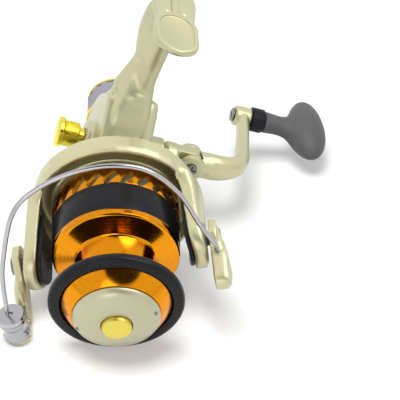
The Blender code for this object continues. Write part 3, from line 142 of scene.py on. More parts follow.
SHEET_NORMAL = Vector((-0.256, 0.112, 0.960)).normalized()
SHEET_DEPTH = -0.1073
SHEET_CLEARNESS = 0.35
bpy.ops.mesh.primitive_circle_add(vertices=96, radius=2.2, fill_type="NGON")
table_sheet = bpy.context.object
table_sheet.name = "table_sheet"
table_sheet.rotation_euler = SHEET_NORMAL.to_track_quat("Z", "Y").to_euler()
table_sheet.location = SHEET_NORMAL * SHEET_DEPTH
sheet_white = Finish("sheet_white", Base_Color=(0.90, 0.90, 0.90, 1.0), Roughness=0.6)
clear = sheet_white.node("BsdfTransparent")
back = sheet_white.node("NewGeometry", output="Backfacing")
see_through = (back + SHEET_CLEARNESS) & 1.0
mixed = sheet_white.node("MixShader", i0=see_through,
                         i1=Tap(sheet_white.tree, sheet_white.shader.outputs[0]), i2=clear)
sheet_end = sheet_white.tree.nodes["Material Output"].inputs["Surface"]
sheet_white.tree.links.new(mixed.socket, sheet_end)
table_sheet.data.materials.append(sheet_white.material)

world = bpy.data.worlds.new("studio")
scene.world = world
world.use_nodes = True
sky = world.node_tree
sky_back = sky.nodes["Background"]
rays = sky.nodes.new("ShaderNodeLightPath")
sky_back.inputs["Color"].default_value = (1.0, 1.0, 1.0, 1.0)
plain_white = Tap(sky, rays.outputs["Is Camera Ray"]) | Tap(sky, rays.outputs["Is Transmission Ray"])
plain_white = plain_white | Tap(sky, rays.outputs["Is Glossy Ray"])
AMBIENT = 0.34
strength = plain_white * (1.0 - AMBIENT) + AMBIENT
sky.links.new(strength.socket, sky_back.inputs["Strength"])


def soft_box(name, place, target, size, watts, shows, fills=True):
    """A round lamp that may show in polished metal, and may light matt surfaces."""
    bpy.ops.object.light_add(type="AREA", location=place)
    lamp = bpy.context.object
    lamp.name = name
    lamp.data.shape = "DISK"
    lamp.data.size = size
    lamp.data.energy = watts
    lamp.rotation_euler = (Vector(target) - Vector(place)).to_track_quat("-Z", "Y").to_euler()
    lamp.visible_glossy = shows
    lamp.visible_diffuse = fills


MIDDLE = (0.0, -0.03, -0.06)
soft_box("overhead_light", (-0.38, -0.06, 0.70), MIDDLE, 0.50, 10.0, False)
soft_box("front_light", (-0.30, -0.75, 0.30), MIDDLE, 0.45, 0.6, True)
soft_box("edge_light", (0.059, -0.047, 0.23), (0.0, -0.055, -0.045), 0.26, 0.50, True, False)

# a dark card that only shows in polished metal, as a photographer's black flag does
card_black = Finish("card_black", Base_Color=(0.02, 0.02, 0.02, 1.0), Roughness=0.9)
bpy.ops.mesh.primitive_circle_add(vertices=48, radius=0.30, fill_type="NGON")
card = bpy.context.object
card.name = "card_over_lens"
card.location = (-0.05, -0.20, 0.38)
card.rotation_euler = (Vector(MIDDLE) - card.location).to_track_quat("Z", "Y").to_euler()
card.data.materials.append(card_black.material)
card.visible_camera = False
card.visible_diffuse = False
card.visible_shadow = False
card.visible_transmission = False

right = Vector((0.9352, -0.0585, 0.3492))
down = Vector((0.2089, -0.7052, -0.6775))
forward = Vector((0.2859, 0.7066, -0.6473))
camera_data = bpy.data.cameras.new("camera")
camera_data.lens = 96.5
camera_data.sensor_width = 36.0
camera_data.clip_start = 0.01
camera_data.clip_end = 20.0
camera = bpy.data.objects.new("camera", camera_data)
scene.collection.objects.link(camera)
turn = Matrix((right, -down, -forward)).transposed()
camera.matrix_world = Matrix.Translation((-0.09106, -0.33820, 0.21371)) @ turn.to_4x4()
scene.camera = camera


# Body casting
# The gear case with its stem and foot is one aluminium casting, painted in champagne metallic.
# Its outer edges are rounded over as in the mould, the stem runs into the case in soft shoulders,
# and the seat has a slot in its middle and a sunk panel at each end.
def merged_copy(node):
    bpy.ops.object.select_all(action="DESELECT")
    copy = bpy.data.objects.new(node + "_finish", frame["nodes"][node].data.copy())
    scene.collection.objects.link(copy)
    copy.select_set(True)
    bpy.context.view_layer.objects.active = copy
    bpy.ops.object.mode_set(mode="EDIT")
    bpy.ops.mesh.select_all(action="SELECT")
    bpy.ops.mesh.remove_doubles(threshold=0.000002)
    bpy.ops.mesh.dissolve_limited(angle_limit=math.radians(0.5))
    bpy.ops.object.mode_set(mode="OBJECT")
    return copy


def changed(piece, kind, **settings):
    """Adds a modifier to the piece and applies it."""
    bpy.ops.object.select_all(action="DESELECT")
    piece.select_set(True)
    bpy.context.view_layer.objects.active = piece
    modifier = piece.modifiers.new(kind.lower(), kind)
    for field, value in settings.items():
        setattr(modifier, field, value)
    bpy.ops.object.modifier_apply(modifier=modifier.name)


def rounded(piece, width, angle=35.0, segments=2):
    changed(piece, "BEVEL", width=width, segments=segments, limit_method="ANGLE",
            angle_limit=math.radians(angle))


def moulded(piece, voxel, passes, kept=0.4, softer=None, more=0):
    """Runs the edges and hollows of a casting together, as paint and mould radii do."""
    changed(piece, "REMESH", mode="VOXEL", voxel_size=voxel)
    changed(piece, "SMOOTH", factor=0.5, iterations=passes)
    if softer:
        group = piece.vertex_groups.new(name="soft")
        group.add([point.index for point in piece.data.vertices if softer(point.co)], 1.0, "REPLACE")
        changed(piece, "SMOOTH", factor=0.5, iterations=more, vertex_group="soft")
    changed(piece, "DECIMATE", ratio=kept)


def block(size, edge, segments):
    """A box about the origin with its edges rounded, to cut with."""
    bpy.ops.object.select_all(action="DESELECT")
    bpy.ops.mesh.primitive_cube_add(size=1.0)
    box = bpy.context.object
    bpy.ops.transform.resize(value=size)
    bpy.ops.object.transform_apply(location=True, rotation=True, scale=True)
    rounded(box, edge, 80.0, segments)
    return box


def picked(piece, test):
    """Opens the piece for editing, with just those points selected that pass the test."""
    bpy.ops.object.mode_set(mode="EDIT")
    bpy.ops.mesh.select_mode(type="VERT")
    bpy.ops.mesh.select_all(action="DESELECT")
    bpy.ops.object.mode_set(mode="OBJECT")
    for point in piece.data.vertices:
        point.select = test(point.co)
    bpy.ops.object.mode_set(mode="EDIT")


def cut(piece, cutter):
    changed(piece, "BOOLEAN", operation="DIFFERENCE", object=cutter, solver="EXACT")
    bpy.data.objects.remove(cutter, do_unlink=True)


def joined(pieces):
    bpy.ops.object.select_all(action="DESELECT")
    for piece in pieces:
        piece.select_set(True)
    bpy.context.view_layer.objects.active = pieces[0]
    bpy.ops.object.join()
    return pieces[0]


def traced(name, points):
    """A line of edges, drawn by extruding one point from place to place."""
    bpy.ops.object.select_all(action="DESELECT")
    bpy.ops.mesh.primitive_plane_add(size=0.001)
    line = bpy.context.object
    line.name = name
    bpy.ops.object.mode_set(mode="EDIT")
    bpy.ops.mesh.select_all(action="SELECT")
    bpy.ops.mesh.merge(type="CENTER")
    bpy.ops.transform.translate(value=points[0])
    for here, there in zip(points, points[1:]):
        bpy.ops.mesh.extrude_vertices_move(TRANSFORM_OT_translate={"value": there - here})
    bpy.ops.object.mode_set(mode="OBJECT")
    return line


def drawn(name, path, radii):
    """A round bar along a line of points, as thick at each point as its radius says."""
    line = traced(name, path)
    bpy.ops.object.convert(target="CURVE")
    for spot in line.data.splines[0].points:
        near = min(range(len(path)), key=lambda index: (path[index] - spot.co.xyz).length)
        spot.radius = radii[near]
    line.data.bevel_depth = 1.0
    line.data.bevel_resolution = 5
    line.data.use_fill_caps = True
    bpy.ops.object.convert(target="MESH")
    return line


def flowing(points, per_span):
    """Points of a smooth curve through a few places."""
    ends = [2 * points[0] - points[1], *points, 2 * points[-1] - points[-2]]
    path = []
    for a, b, c, d in zip(ends, ends[1:], ends[2:], ends[3:]):
        for step in range(per_span):
            t = step / per_span
            path.append(0.5 * (2 * b + (c - a) * t + (2 * a - 5 * b + 4 * c - d) * t * t
                               + (3 * b - a - 3 * c + d) * t ** 3))
    return path + [points[-1]]


def swollen(name, stations, place=Matrix.Identity(4)):
    """A bar through stations of (x, y, z, radius), smooth between them, then put in its place."""
    path = flowing([Vector(station) for station in stations], 6)
    bar = drawn(name, [spot.xyz for spot in path], [spot.w for spot in path])
    bar.data.transform(place)
    return bar


def fitted(piece, finish, node, angle=35.0):
    """Shades the piece, gives it its finish and puts it in its node's place."""
    bpy.ops.object.select_all(action="DESELECT")
    piece.select_set(True)
    bpy.context.view_layer.objects.active = piece
    bpy.ops.object.shade_smooth_by_angle(angle=math.radians(angle))
    piece.data.materials.clear()
    piece.data.materials.append(finish.material)
    bodies = frame["record"]["behaviour"]["bodies"]
    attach(piece, next(body for body, members in bodies.items() if node in members))


def dressed(node, finish, edge=0.0003, angle=35.0):
    copy = merged_copy(node)
    if edge:
        rounded(copy, edge, angle)
    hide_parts(node)
    fitted(copy, finish, node, angle)


def champagne(name, colour):
    paint = Finish(name, Coat_Weight=0.25, Coat_Roughness=0.12, Metallic=0.7)
    point = paint.place()
    flake = paint.noise(point, 2600.0, 1.0)
    cloud = paint.noise(point, 35.0, 2.0)
    share = cloud * 0.5 + flake * 0.35
    dark = (colour[0] * 0.84, colour[1] * 0.84, colour[2] * 0.80, 1.0)
    light = (colour[0] * 1.10, colour[1] * 1.10, colour[2] * 1.12, 1.0)
    paint.feed("Base Color", paint.colours(share, dark, light))
    paint.feed("Roughness", flake * 0.12 + 0.30)
    paint.bump(flake * 0.4 + paint.noise(point, 420.0) * 0.6, 0.05, 0.0002)
    return paint


# painted shade: the case and side cover get a darker copy of the rotor's champagne paint
body_paint_shaded = champagne("body_paint_shaded", (0.54, 0.52, 0.33))
casting = merged_copy("body_frame")
cut(casting, block((0.0036, 0.0200, 0.0024), 0.0012, 4))
FOOT_TIP = 0.0305
TIP_LENGTH = 0.0075
TIP_REACH = 0.0080
foot_ends = {}
for end in (-1, 1):
    for kind, half_width, half_length, low, high in (("plate", 0.0085, TIP_LENGTH, -0.0028, 0.0),
                                                     ("panel", 0.0066, 0.0056, -0.0005, 0.0010)):
        bpy.ops.object.select_all(action="DESELECT")
        bpy.ops.mesh.primitive_cylinder_add(vertices=64, radius=1.0, depth=1.0)
        foot_end = bpy.context.object
        bpy.ops.transform.resize(value=(half_width, half_length, high - low))
        bpy.ops.object.transform_apply(location=True, rotation=True, scale=True)
        picked(foot_end, lambda spot: spot.y * end < -0.00001)
        bpy.ops.transform.translate(value=(0.0, -end * TIP_REACH, 0.0))
        bpy.ops.object.mode_set(mode="OBJECT")
        rounded(foot_end, 0.0003, 60.0, 2)
        tip_place = (0.0, end * (FOOT_TIP - TIP_LENGTH), (low + high) / 2)
        foot_end.data.transform(Matrix.Translation(tip_place))
        foot_ends[kind, end] = foot_end
shoulder = swollen("stem_shoulder", [
    (-0.0026, -0.0010, -0.0290, 0.0046), (-0.0044, -0.0026, -0.0365, 0.0054),
    (-0.0066, -0.0046, -0.0432, 0.0058)])
fillet = swollen("stem_fillet", [
    (-0.0090, -0.0080, -0.0428, 0.0026), (-0.0035, -0.0098, -0.0412, 0.0031),
    (0.0008, -0.0098, -0.0410, 0.0026)])
ramps = [swollen("stem_ramp", [
    (x * 0.5, -0.0036, -0.0330, 0.0026), (x * 0.8, -0.0094, -0.0420, 0.0032),
    (x, -0.0140, -0.0482, 0.0034), (x, -0.0185, -0.0540, 0.0030),
]) for x in (-0.0076, -0.0052, -0.0028, -0.0004, 0.0018)]
flank = swollen("stem_flank", [
    (-0.0042, 0.0035, -0.0060, 0.0042), (-0.0046, 0.0030, -0.0150, 0.0044),
    (-0.0036, 0.0020, -0.0235, 0.0042), (-0.0027, 0.0000, -0.0310, 0.0037),
    (-0.0034, -0.0015, -0.0385, 0.0042), (-0.0062, -0.0035, -0.0455, 0.0052),
    (-0.0080, -0.0050, -0.0540, 0.0054), (-0.0082, -0.0065, -0.0610, 0.0051)])
BEAD_ACROSS = -0.0117
BEAD_INSET = 0.0019
BEAD_RADIUS = 0.0015
case_rounds = ((-0.0090, -0.0680, 0.0200), (-0.0195, -0.0835, 0.0095), (0.0005, -0.0835, 0.0095),
               (-0.0090, -0.0469, 0.0046))
case_edge = []
for step in range(61):
    way = Vector((math.cos(math.radians(6.0 * step)), math.sin(math.radians(6.0 * step))))
    y, z, radius = max(case_rounds, key=lambda spot: spot[0] * way.x + spot[1] * way.y + spot[2])
    inner = radius - BEAD_INSET
    case_edge.append(Vector((BEAD_ACROSS, y + way.x * inner, z + way.y * inner)))
bead = drawn("case_bead", case_edge, [BEAD_RADIUS] * len(case_edge))
foot_plates = [foot_ends["plate", -1], foot_ends["plate", 1]]
casting = joined([casting, *foot_plates, shoulder, fillet, *ramps, flank, bead])
moulded(casting, 0.00045, 10, 0.4, lambda spot: spot.x < 0.0030 and -0.064 < spot.z < -0.006, 40)
for end in (-1, 1):
    cut(casting, foot_ends["panel", end])
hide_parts("body_frame")
fitted(casting, body_paint_shaded, "body_frame", 60.0)


# Bearings and one-way clutch
# Ball bearings of ground steel carry the pinion and both ends of the crank's shaft. The clutch
# in front of the pinion's bearing is a black moulded cage that lets the rotor turn one way.
def metal(name, colour, rough, grain_scale=900.0):
    bare = Finish(name, Metallic=1.0)
    point = bare.place()
    grain = bare.noise(point, grain_scale, 2.0)
    cloud = bare.noise(point, 60.0, 2.0)
    dark = (colour[0] * 0.84, colour[1] * 0.84, colour[2] * 0.84, 1.0)
    bare.feed("Base Color", bare.colours(grain * 0.6 + cloud * 0.4, dark, (*colour, 1.0)))
    bare.feed("Roughness", grain * 0.12 + (rough - 0.06))
    bare.bump(grain, 0.04, 0.0001)
    return bare


def black(name, rough):
    plastic = Finish(name, Specular_IOR_Level=0.15)
    point = plastic.place()
    grain = plastic.noise(point, 1500.0, 2.0)
    deep = (0.008, 0.008, 0.010, 1.0)
    plastic.feed("Base Color", plastic.colours(grain, deep, (0.013, 0.013, 0.016, 1.0)))
    plastic.feed("Roughness", grain * 0.10 + rough)
    plastic.bump(grain, 0.05, 0.0001)
    return plastic


bright_steel = metal("bright_steel", (0.66, 0.65, 0.64), 0.20)
for node in ("pinion_bearing", "drive_bearing_left", "drive_bearing_right"):
    dressed(node, bright_steel, 0.0002)
dressed("anti_reverse_clutch", black("clutch_black", 0.5), 0.0002)

# Gears
# The pinion is brass on a long sleeve, and drives from a zinc face gear on the crank's shaft.
# A small brass gear beside it turns the nylon wheel whose pin works the spool to and fro.
brass = metal("gear_brass", (0.64, 0.46, 0.20), 0.30)
dressed("pinion_gear", brass, 0)
dressed("oscillation_drive_gear", brass, 0)
dressed("drive_gear", metal("gear_zinc", (0.46, 0.46, 0.47), 0.45, 500.0), 0)


def moulding(name, colour, rough, grain_scale=1100.0):
    plastic = Finish(name)
    point = plastic.place()
    grain = plastic.noise(point, grain_scale, 2.0)
    cloud = plastic.noise(point, 45.0, 2.0)
    dark = (colour[0] * 0.82, colour[1] * 0.82, colour[2] * 0.82, 1.0)
    plastic.feed("Base Color", plastic.colours(grain * 0.5 + cloud * 0.5, dark, (*colour, 1.0)))
    plastic.feed("Roughness", grain * 0.14 + rough)
    plastic.bump(grain, 0.10, 0.0001)
    return plastic


nylon = moulding("white_nylon", (0.74, 0.72, 0.66), 0.40)
dressed("oscillation_gear", nylon, 0)

# Slider and main shaft
# A moulded nylon slider runs on a steel guide rod, pushed by the wheel's pin. It carries the ground
# steel shaft of the spool between a collar and a clip.
dressed("oscillation_slider", nylon, 0.0002)
for node in ("slider_guide", "main_shaft", "shaft_clip"):
    dressed(node, bright_steel, 0.00015)


# Side cover
# A shallow painted cover closes the gear case on the handle side, held by three steel screws
# with slotted heads sunk below its face.
cover = merged_copy("side_cover")
moulded(cover, 0.00040, 4)
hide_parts("side_cover")
fitted(cover, body_paint_shaded, "side_cover", 60.0)


def slotted(piece, place, normal, length, width=0.0005, depth=0.0006, crossed=False):
    """Cuts a driver's slot, or a cross, into a screw head."""
    square = Vector(normal).to_track_quat("Z", "Y").to_matrix().to_4x4()
    for turn in ((0.0, math.pi / 2) if crossed else (0.0,)):
        blade = block((length, width, 2 * depth), width * 0.2, 1)
        blade.data.transform(Matrix.Translation(place) @ square @ Matrix.Rotation(turn, 4, "Z"))
        cut(piece, blade)


for node in ("cover_screw_1", "cover_screw_2", "cover_screw_3"):
    low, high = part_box(node)
    screw = merged_copy(node)
    rounded(screw, 0.00015)
    screw_face = (high.x, (low.y + high.y) / 2, (low.z + high.z) / 2)
    slotted(screw, screw_face, (1, 0, 0), 0.0028, crossed=True)
    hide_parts(node)
    fitted(screw, bright_steel, node)

# Rotor
# The rotor is one painted casting: a drum inside the spool's skirt, a ring behind it and two arms.
# Black plates on the arms' inner sides are painted shade, for the shadowed gap beside the spool.
# A steel nut holds the rotor on the pinion.
rotor_paint = champagne("rotor_paint", (0.60, 0.58, 0.36))
BAIL_ROLL = math.radians(28.0)
BAIL_ACROSS = Vector((math.cos(BAIL_ROLL), 0.0, math.sin(BAIL_ROLL)))
AXIS_HEIGHT = -0.075
SPOOL_LINE = AXIS_HEIGHT * BAIL_ACROSS.z
ARMS_FROM = 0.0262
rotor = merged_copy("rotor")
moulded(rotor, 0.00042, 14, 0.4, lambda spot: abs(spot.dot(BAIL_ACROSS) - SPOOL_LINE) > ARMS_FROM, 60)
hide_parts("rotor")
fitted(rotor, rotor_paint, "rotor", 60.0)
black_gloss = black("black_gloss", 0.22)
# the black arm plates are painted shade: a dark sheet where the gap by the spool lies in shadow
dressed("arm_cover_left", black_gloss, 0.0004)
dressed("arm_cover_right", black_gloss, 0.0004)
dressed("rotor_nut", bright_steel, 0.0003)


# Bail
# Two painted arms swing on steel pins in the rotor's arms, and carry a polished wire that gathers
# the line. At its end the wire is riveted through a chromed roller, over a cup on the left arm.
BAIL_UP = Vector((-math.sin(BAIL_ROLL), 0.0, math.cos(BAIL_ROLL)))
BAIL_PIVOT = Vector((0.0, -0.062, AXIS_HEIGHT))
ALONG = Vector((0.0, 1.0, 0.0))
dark_steel = metal("dark_steel", (0.26, 0.26, 0.25), 0.34)
for node, side in (("bail_pivot_left", -1), ("bail_pivot_right", 1)):
    pin = merged_copy(node)
    rounded(pin, 0.0003)
    slotted(pin, BAIL_PIVOT + BAIL_ACROSS * side * 0.0403, BAIL_ACROSS * side, 0.0048, 0.0007)
    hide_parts(node)
    fitted(pin, dark_steel, node)


def at_bail(across, ahead, up):
    return BAIL_PIVOT + BAIL_ACROSS * across + Vector((0.0, ahead, 0.0)) + BAIL_UP * up


def turned(name, profile, origin, axis, steps=96):
    """A profile of (radius, distance along the axis), spun round as on a lathe."""
    along = Vector(axis)
    outward = along.orthogonal().normalized()
    start = Vector(origin)
    line = traced(name, [start + outward * radius + along * place for radius, place in profile])
    bpy.ops.object.mode_set(mode="EDIT")
    bpy.ops.mesh.select_all(action="SELECT")
    bpy.ops.mesh.spin(steps=steps, angle=2 * math.pi, center=origin, axis=along)
    bpy.ops.mesh.select_all(action="SELECT")
    bpy.ops.mesh.remove_doubles(threshold=0.000002)
    bpy.ops.mesh.normals_make_consistent(inside=False)
    bpy.ops.object.mode_set(mode="OBJECT")
    return line


def rod(radius, length, edge, segments):
    """A round bar about the origin with its rims rounded, to cut with."""
    bpy.ops.object.select_all(action="DESELECT")
    bpy.ops.mesh.primitive_cylinder_add(vertices=48, radius=radius, depth=length)
    bar = bpy.context.object
    rounded(bar, edge, 60.0, segments)
    return bar


bail_turn = Matrix((BAIL_ACROSS, ALONG, BAIL_UP)).transposed().to_4x4()
TALL = 1.35
bail_frame = Matrix.Translation(BAIL_PIVOT) @ bail_turn @ Matrix.Diagonal((1.0, 1.0, TALL, 1.0))
bail_bars = {
    "bail_arm_free_side": [
        (0.0379, 0.0040, 0.0026, 0.0012), (0.0384, 0.0005, 0.0016, 0.0022),
        (0.0391, -0.0055, 0.0002, 0.0027), (0.0398, -0.0110, -0.0009, 0.0029),
        (0.0401, -0.0165, -0.0016, 0.0030), (0.0398, -0.0203, -0.0022, 0.0027)],
    "bail_arm_roller_side": [
        (-0.0377, 0.0020, -0.0004, 0.0012), (-0.0378, -0.0040, -0.0018, 0.0019),
        (-0.0380, -0.0095, -0.0040, 0.0025), (-0.0381, -0.0128, -0.0068, 0.0022)],
}
BLADE_FROM = -0.0095
WELL_MIDDLE = 0.0421
for node, stations in bail_bars.items():
    side = math.copysign(1.0, stations[0][0])
    arm = joined([merged_copy(node), swollen(node + "_bar", stations, bail_frame)])
    moulded(arm, 0.00025, 40, 0.4, lambda spot: spot.y - BAIL_PIVOT.y < BLADE_FROM, 70)
    well = rod(0.0041, 0.0060, 0.0003, 2)
    well.data.transform(Matrix.Translation(at_bail(side * WELL_MIDDLE, 0.0, 0.0)) @ bail_turn
                        @ Matrix.Rotation(math.pi / 2, 4, "Y"))
    cut(arm, well)
    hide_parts(node)
    fitted(arm, rotor_paint, node, 60.0)

wire_route = [at_bail(across, ahead, up) for across, ahead, up in (
    (-0.0417, -0.0210, -0.0040), (-0.0398, -0.0188, 0.0108), (-0.0368, -0.0172, 0.0224),
    (-0.0295, -0.0125, 0.0394), (-0.0199, -0.0085, 0.0459), (-0.0052, -0.0060, 0.0494),
    (0.0087, -0.0050, 0.0488), (0.0201, -0.0050, 0.0437), (0.0288, -0.0058, 0.0314),
    (0.0339, -0.0075, 0.0166), (0.0384, -0.0090, 0.0065), (0.0384, -0.0090, 0.0038))]
wire_path = flowing(wire_route, 10)
WIRE_RADIUS = 0.0009
bail_wire = drawn("bail_wire_finish", wire_path, [WIRE_RADIUS] * len(wire_path))
roller_foot = at_bail(-0.0407, -0.0210, 0.0)
rivet = turned("rivet", [
    (0.0, -0.0177), (0.0016, -0.0177), (0.0016, -0.0053), (0.0051, -0.0053), (0.0054, -0.0050),
    (0.0054, -0.0040), (0.0050, -0.0033), (0.0011, -0.0031), (0.0007, -0.0037), (0.0, -0.0038),
], roller_foot, BAIL_UP, 64)
bail_wire = joined([bail_wire, rivet])
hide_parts("bail_wire")
wire_steel = metal("wire_steel", (0.50, 0.49, 0.51), 0.20, 1600.0)
fitted(bail_wire, wire_steel, "bail_wire", 40.0)
roller = turned("line_roller_finish", [
    (0.0019, -0.0148), (0.0049, -0.0148), (0.0053, -0.0144), (0.0053, -0.0134), (0.0049, -0.0124),
    (0.0045, -0.0114), (0.0044, -0.0102), (0.0045, -0.0090), (0.0049, -0.0079), (0.0053, -0.0069),
    (0.0053, -0.0060), (0.0050, -0.0056), (0.0019, -0.0056), (0.0019, -0.0148),
], roller_foot, BAIL_UP)
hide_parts("line_roller")
# the roller's chrome is set dark all over as a painted reflection of dark surroundings
roller_chrome_dark_reflection = metal("roller_chrome_dark_reflection", (0.42, 0.43, 0.45), 0.11, 1600.0)
fitted(roller, roller_chrome_dark_reflection, "line_roller", 50.0)

# Spool
# The spool is turned from aluminium, polished and anodised orange, with a row of slanted vents
# cut through its skirt. A plain black band is printed round the skirt between two fine grooves,
# and the back of the lip is blackened as painted shade, for the shadow that the lip casts there.
SPOOL_FRONT = Vector((0.0, -0.088, AXIS_HEIGHT))
spool = turned("spool_finish", [
    (0.0023, 0.0032), (0.0158, 0.0032), (0.0158, -0.0051), (0.0166, -0.0051), (0.0204, -0.0002),
    (0.0203, 0.0035), (0.0239, 0.0035), (0.0236, 0.0040), (0.0218, 0.0048), (0.0156, 0.0058),
    (0.0149, 0.0066), (0.0149, 0.0198), (0.0153, 0.0206), (0.0162, 0.0212), (0.0226, 0.0222),
    (0.0237, 0.0225), (0.0242, 0.0231), (0.02425, 0.0252), (0.0241, 0.02535), (0.0243, 0.0255),
    (0.0248, 0.0384), (0.0246, 0.03855), (0.0248, 0.0387), (0.0251, 0.0473), (0.0250, 0.0476),
    (0.0238, 0.0476), (0.0228, 0.0246), (0.0023, 0.0246), (0.0023, 0.0032),
], SPOOL_FRONT, ALONG, 144)
rounded(spool, 0.0002, 30.0, 2)
VENTS = 24
VENT_SLANT = math.radians(-38.0)
VENT_STRETCH = 0.0024
bpy.ops.object.select_all(action="DESELECT")
bpy.ops.mesh.primitive_cylinder_add(vertices=24, radius=0.0014, depth=0.0060)
vent = bpy.context.object
for side in (-1, 1):
    picked(vent, lambda spot: spot.y * side > 0.00001)
    bpy.ops.transform.translate(value=(0.0, side * VENT_STRETCH, 0.0))
    bpy.ops.object.mode_set(mode="OBJECT")
vents = [vent]
for _ in range(1, VENTS):
    copy = bpy.data.objects.new("vent", vent.data.copy())
    scene.collection.objects.link(copy)
    vents.append(copy)
for index, copy in enumerate(vents):
    round_skirt = Matrix.Rotation(2 * math.pi * (index + 0.5) / VENTS, 4, "Y")
    place = round_skirt @ Matrix.Translation((0.0, 0.04156, 0.0248))
    copy.data.transform(Matrix.Translation(SPOOL_FRONT) @ place @ Matrix.Rotation(VENT_SLANT, 4, "Z"))
cut(spool, joined(vents))


def anodised():
    skin = Finish("spool_orange", Specular_IOR_Level=0.15)
    point = skin.place()
    along = skin.axis(point, "Y")
    grain = skin.noise(point, 700.0, 2.0)
    rings = skin.node("TexWave", {"wave_type": "BANDS", "bands_direction": "Y"}, output=1,
                      Vector=point, Scale=1400.0, Distortion=0.4)
    orange = skin.colours(grain, (0.68, 0.23, 0.005, 1.0), (0.80, 0.31, 0.009, 1.0))
    band = (along > SPOOL_FRONT.y + 0.0255) * (along < SPOOL_FRONT.y + 0.0384)
    # the second band is painted shade: black on the back of the lip, where the lip's shadow falls
    band = band | (along > SPOOL_FRONT.y + 0.0033) * (along < SPOOL_FRONT.y + 0.0060)
    skin.feed("Base Color", skin.colours(band, orange, (0.011, 0.011, 0.013, 1.0)))
    skin.feed("Metallic", 1.0 - band * 0.9)
    skin.feed("Roughness", grain * 0.06 + 0.10 + band * 0.14)
    skin.bump(rings, 0.03, 0.0001)
    return skin


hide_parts("spool")
fitted(spool, anodised(), "spool", 30.0)

# Spool lip, cap and button
# A black moulded ring guards the lip. The painted cap is held by two small screws, and a gold
# plated button in its middle releases the spool from the shaft.
lip = turned("spool_lip_ring_finish", [
    (0.0206, 0.0), (0.0209, -0.0005), (0.0236, -0.0006), (0.0244, -0.0003), (0.0249, 0.0004),
    (0.0250, 0.0012), (0.0250, 0.0022), (0.0246, 0.0029), (0.0238, 0.0032), (0.0206, 0.0032),
    (0.0206, 0.0),
], SPOOL_FRONT, ALONG, 144)
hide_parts("spool_lip_ring")
fitted(lip, black_gloss, "spool_lip_ring", 50.0)
cap = turned("spool_cap_finish", [
    (0.0023, 0.0029), (0.0155, 0.0029), (0.0155, -0.0054), (0.0161, -0.0054), (0.0161, -0.0058),
    (0.0159, -0.0062), (0.0155, -0.0067), (0.0150, -0.0075), (0.0135, -0.0083), (0.0118, -0.0090),
    (0.0100, -0.0095), (0.0082, -0.0099), (0.0063, -0.0100), (0.0059, -0.0099), (0.0058, -0.0097),
    (0.0058, -0.0030), (0.0023, -0.0030), (0.0023, 0.0029),
], SPOOL_FRONT, ALONG, 128)
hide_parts("spool_cap")
# painted shade: the cap gets a darker copy of the same champagne paint
fitted(cap, champagne("cap_paint_shaded", (0.51, 0.49, 0.33)), "spool_cap", 35.0)
CAP_SCREW_RADIUS = 0.0142
for name, degrees in (("cap_screw_right", 35.0), ("cap_screw_left", 212.0)):
    way = Vector((math.cos(math.radians(degrees)), 0.0, math.sin(math.radians(degrees))))
    spot = SPOOL_FRONT + way * CAP_SCREW_RADIUS
    head = turned(name, [
        (0.0, -0.0080), (0.0008, -0.0080), (0.0010, -0.0078), (0.0010, -0.0068), (0.0, -0.0068),
    ], spot, ALONG, 24)
    slotted(head, spot + ALONG * -0.0080, (0, -1, 0), 0.0020, 0.0003, 0.0003)
    fitted(head, dark_steel, "spool_cap")
gold = metal("gold_plate", (0.93, 0.76, 0.10), 0.20)
button = turned("spool_button_finish", [
    (0.0, -0.0116), (0.0044, -0.0116), (0.0051, -0.0114), (0.0055, -0.0108), (0.0055, -0.0048),
    (0.0, -0.0048),
], SPOOL_FRONT, ALONG, 96)
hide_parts("spool_button")
fitted(button, metal("button_gold", (0.76, 0.64, 0.12), 0.42), "spool_button", 35.0)

# Rear drag
# Two fibre washers grip a steel disc keyed to the main shaft, pressed by a spring inside the knob.
# The knob is a ribbed grey moulding with a gold plated ring at its front and rear edge.
felt = moulding("drag_fibre", (0.20, 0.17, 0.13), 0.80)
dressed("drag_washer_inner", felt, 0.0001)
dressed("drag_washer_outer", felt, 0.0001)
dressed("drag_disc", bright_steel, 0.0001)
dressed("drag_spring", bright_steel, 0)
dressed("drag_knob", moulding("drag_knob_grey", (0.25, 0.235, 0.285), 0.32), 0.0003)
for name, radius, low, high in (("drag_knob_front_ring", 0.0127, 0.1016, 0.1040),
                                ("drag_knob_rear_ring", 0.0122, 0.1156, 0.1166)):
    band = turned(name, [
        (radius - 0.0012, low), (radius - 0.0002, low), (radius, low + 0.0003), (radius, high - 0.0003),
        (radius - 0.0002, high), (radius - 0.0012, high), (radius - 0.0012, low),
    ], SPOOL_FRONT, ALONG, 96)
    fitted(band, gold, "drag_knob", 35.0)

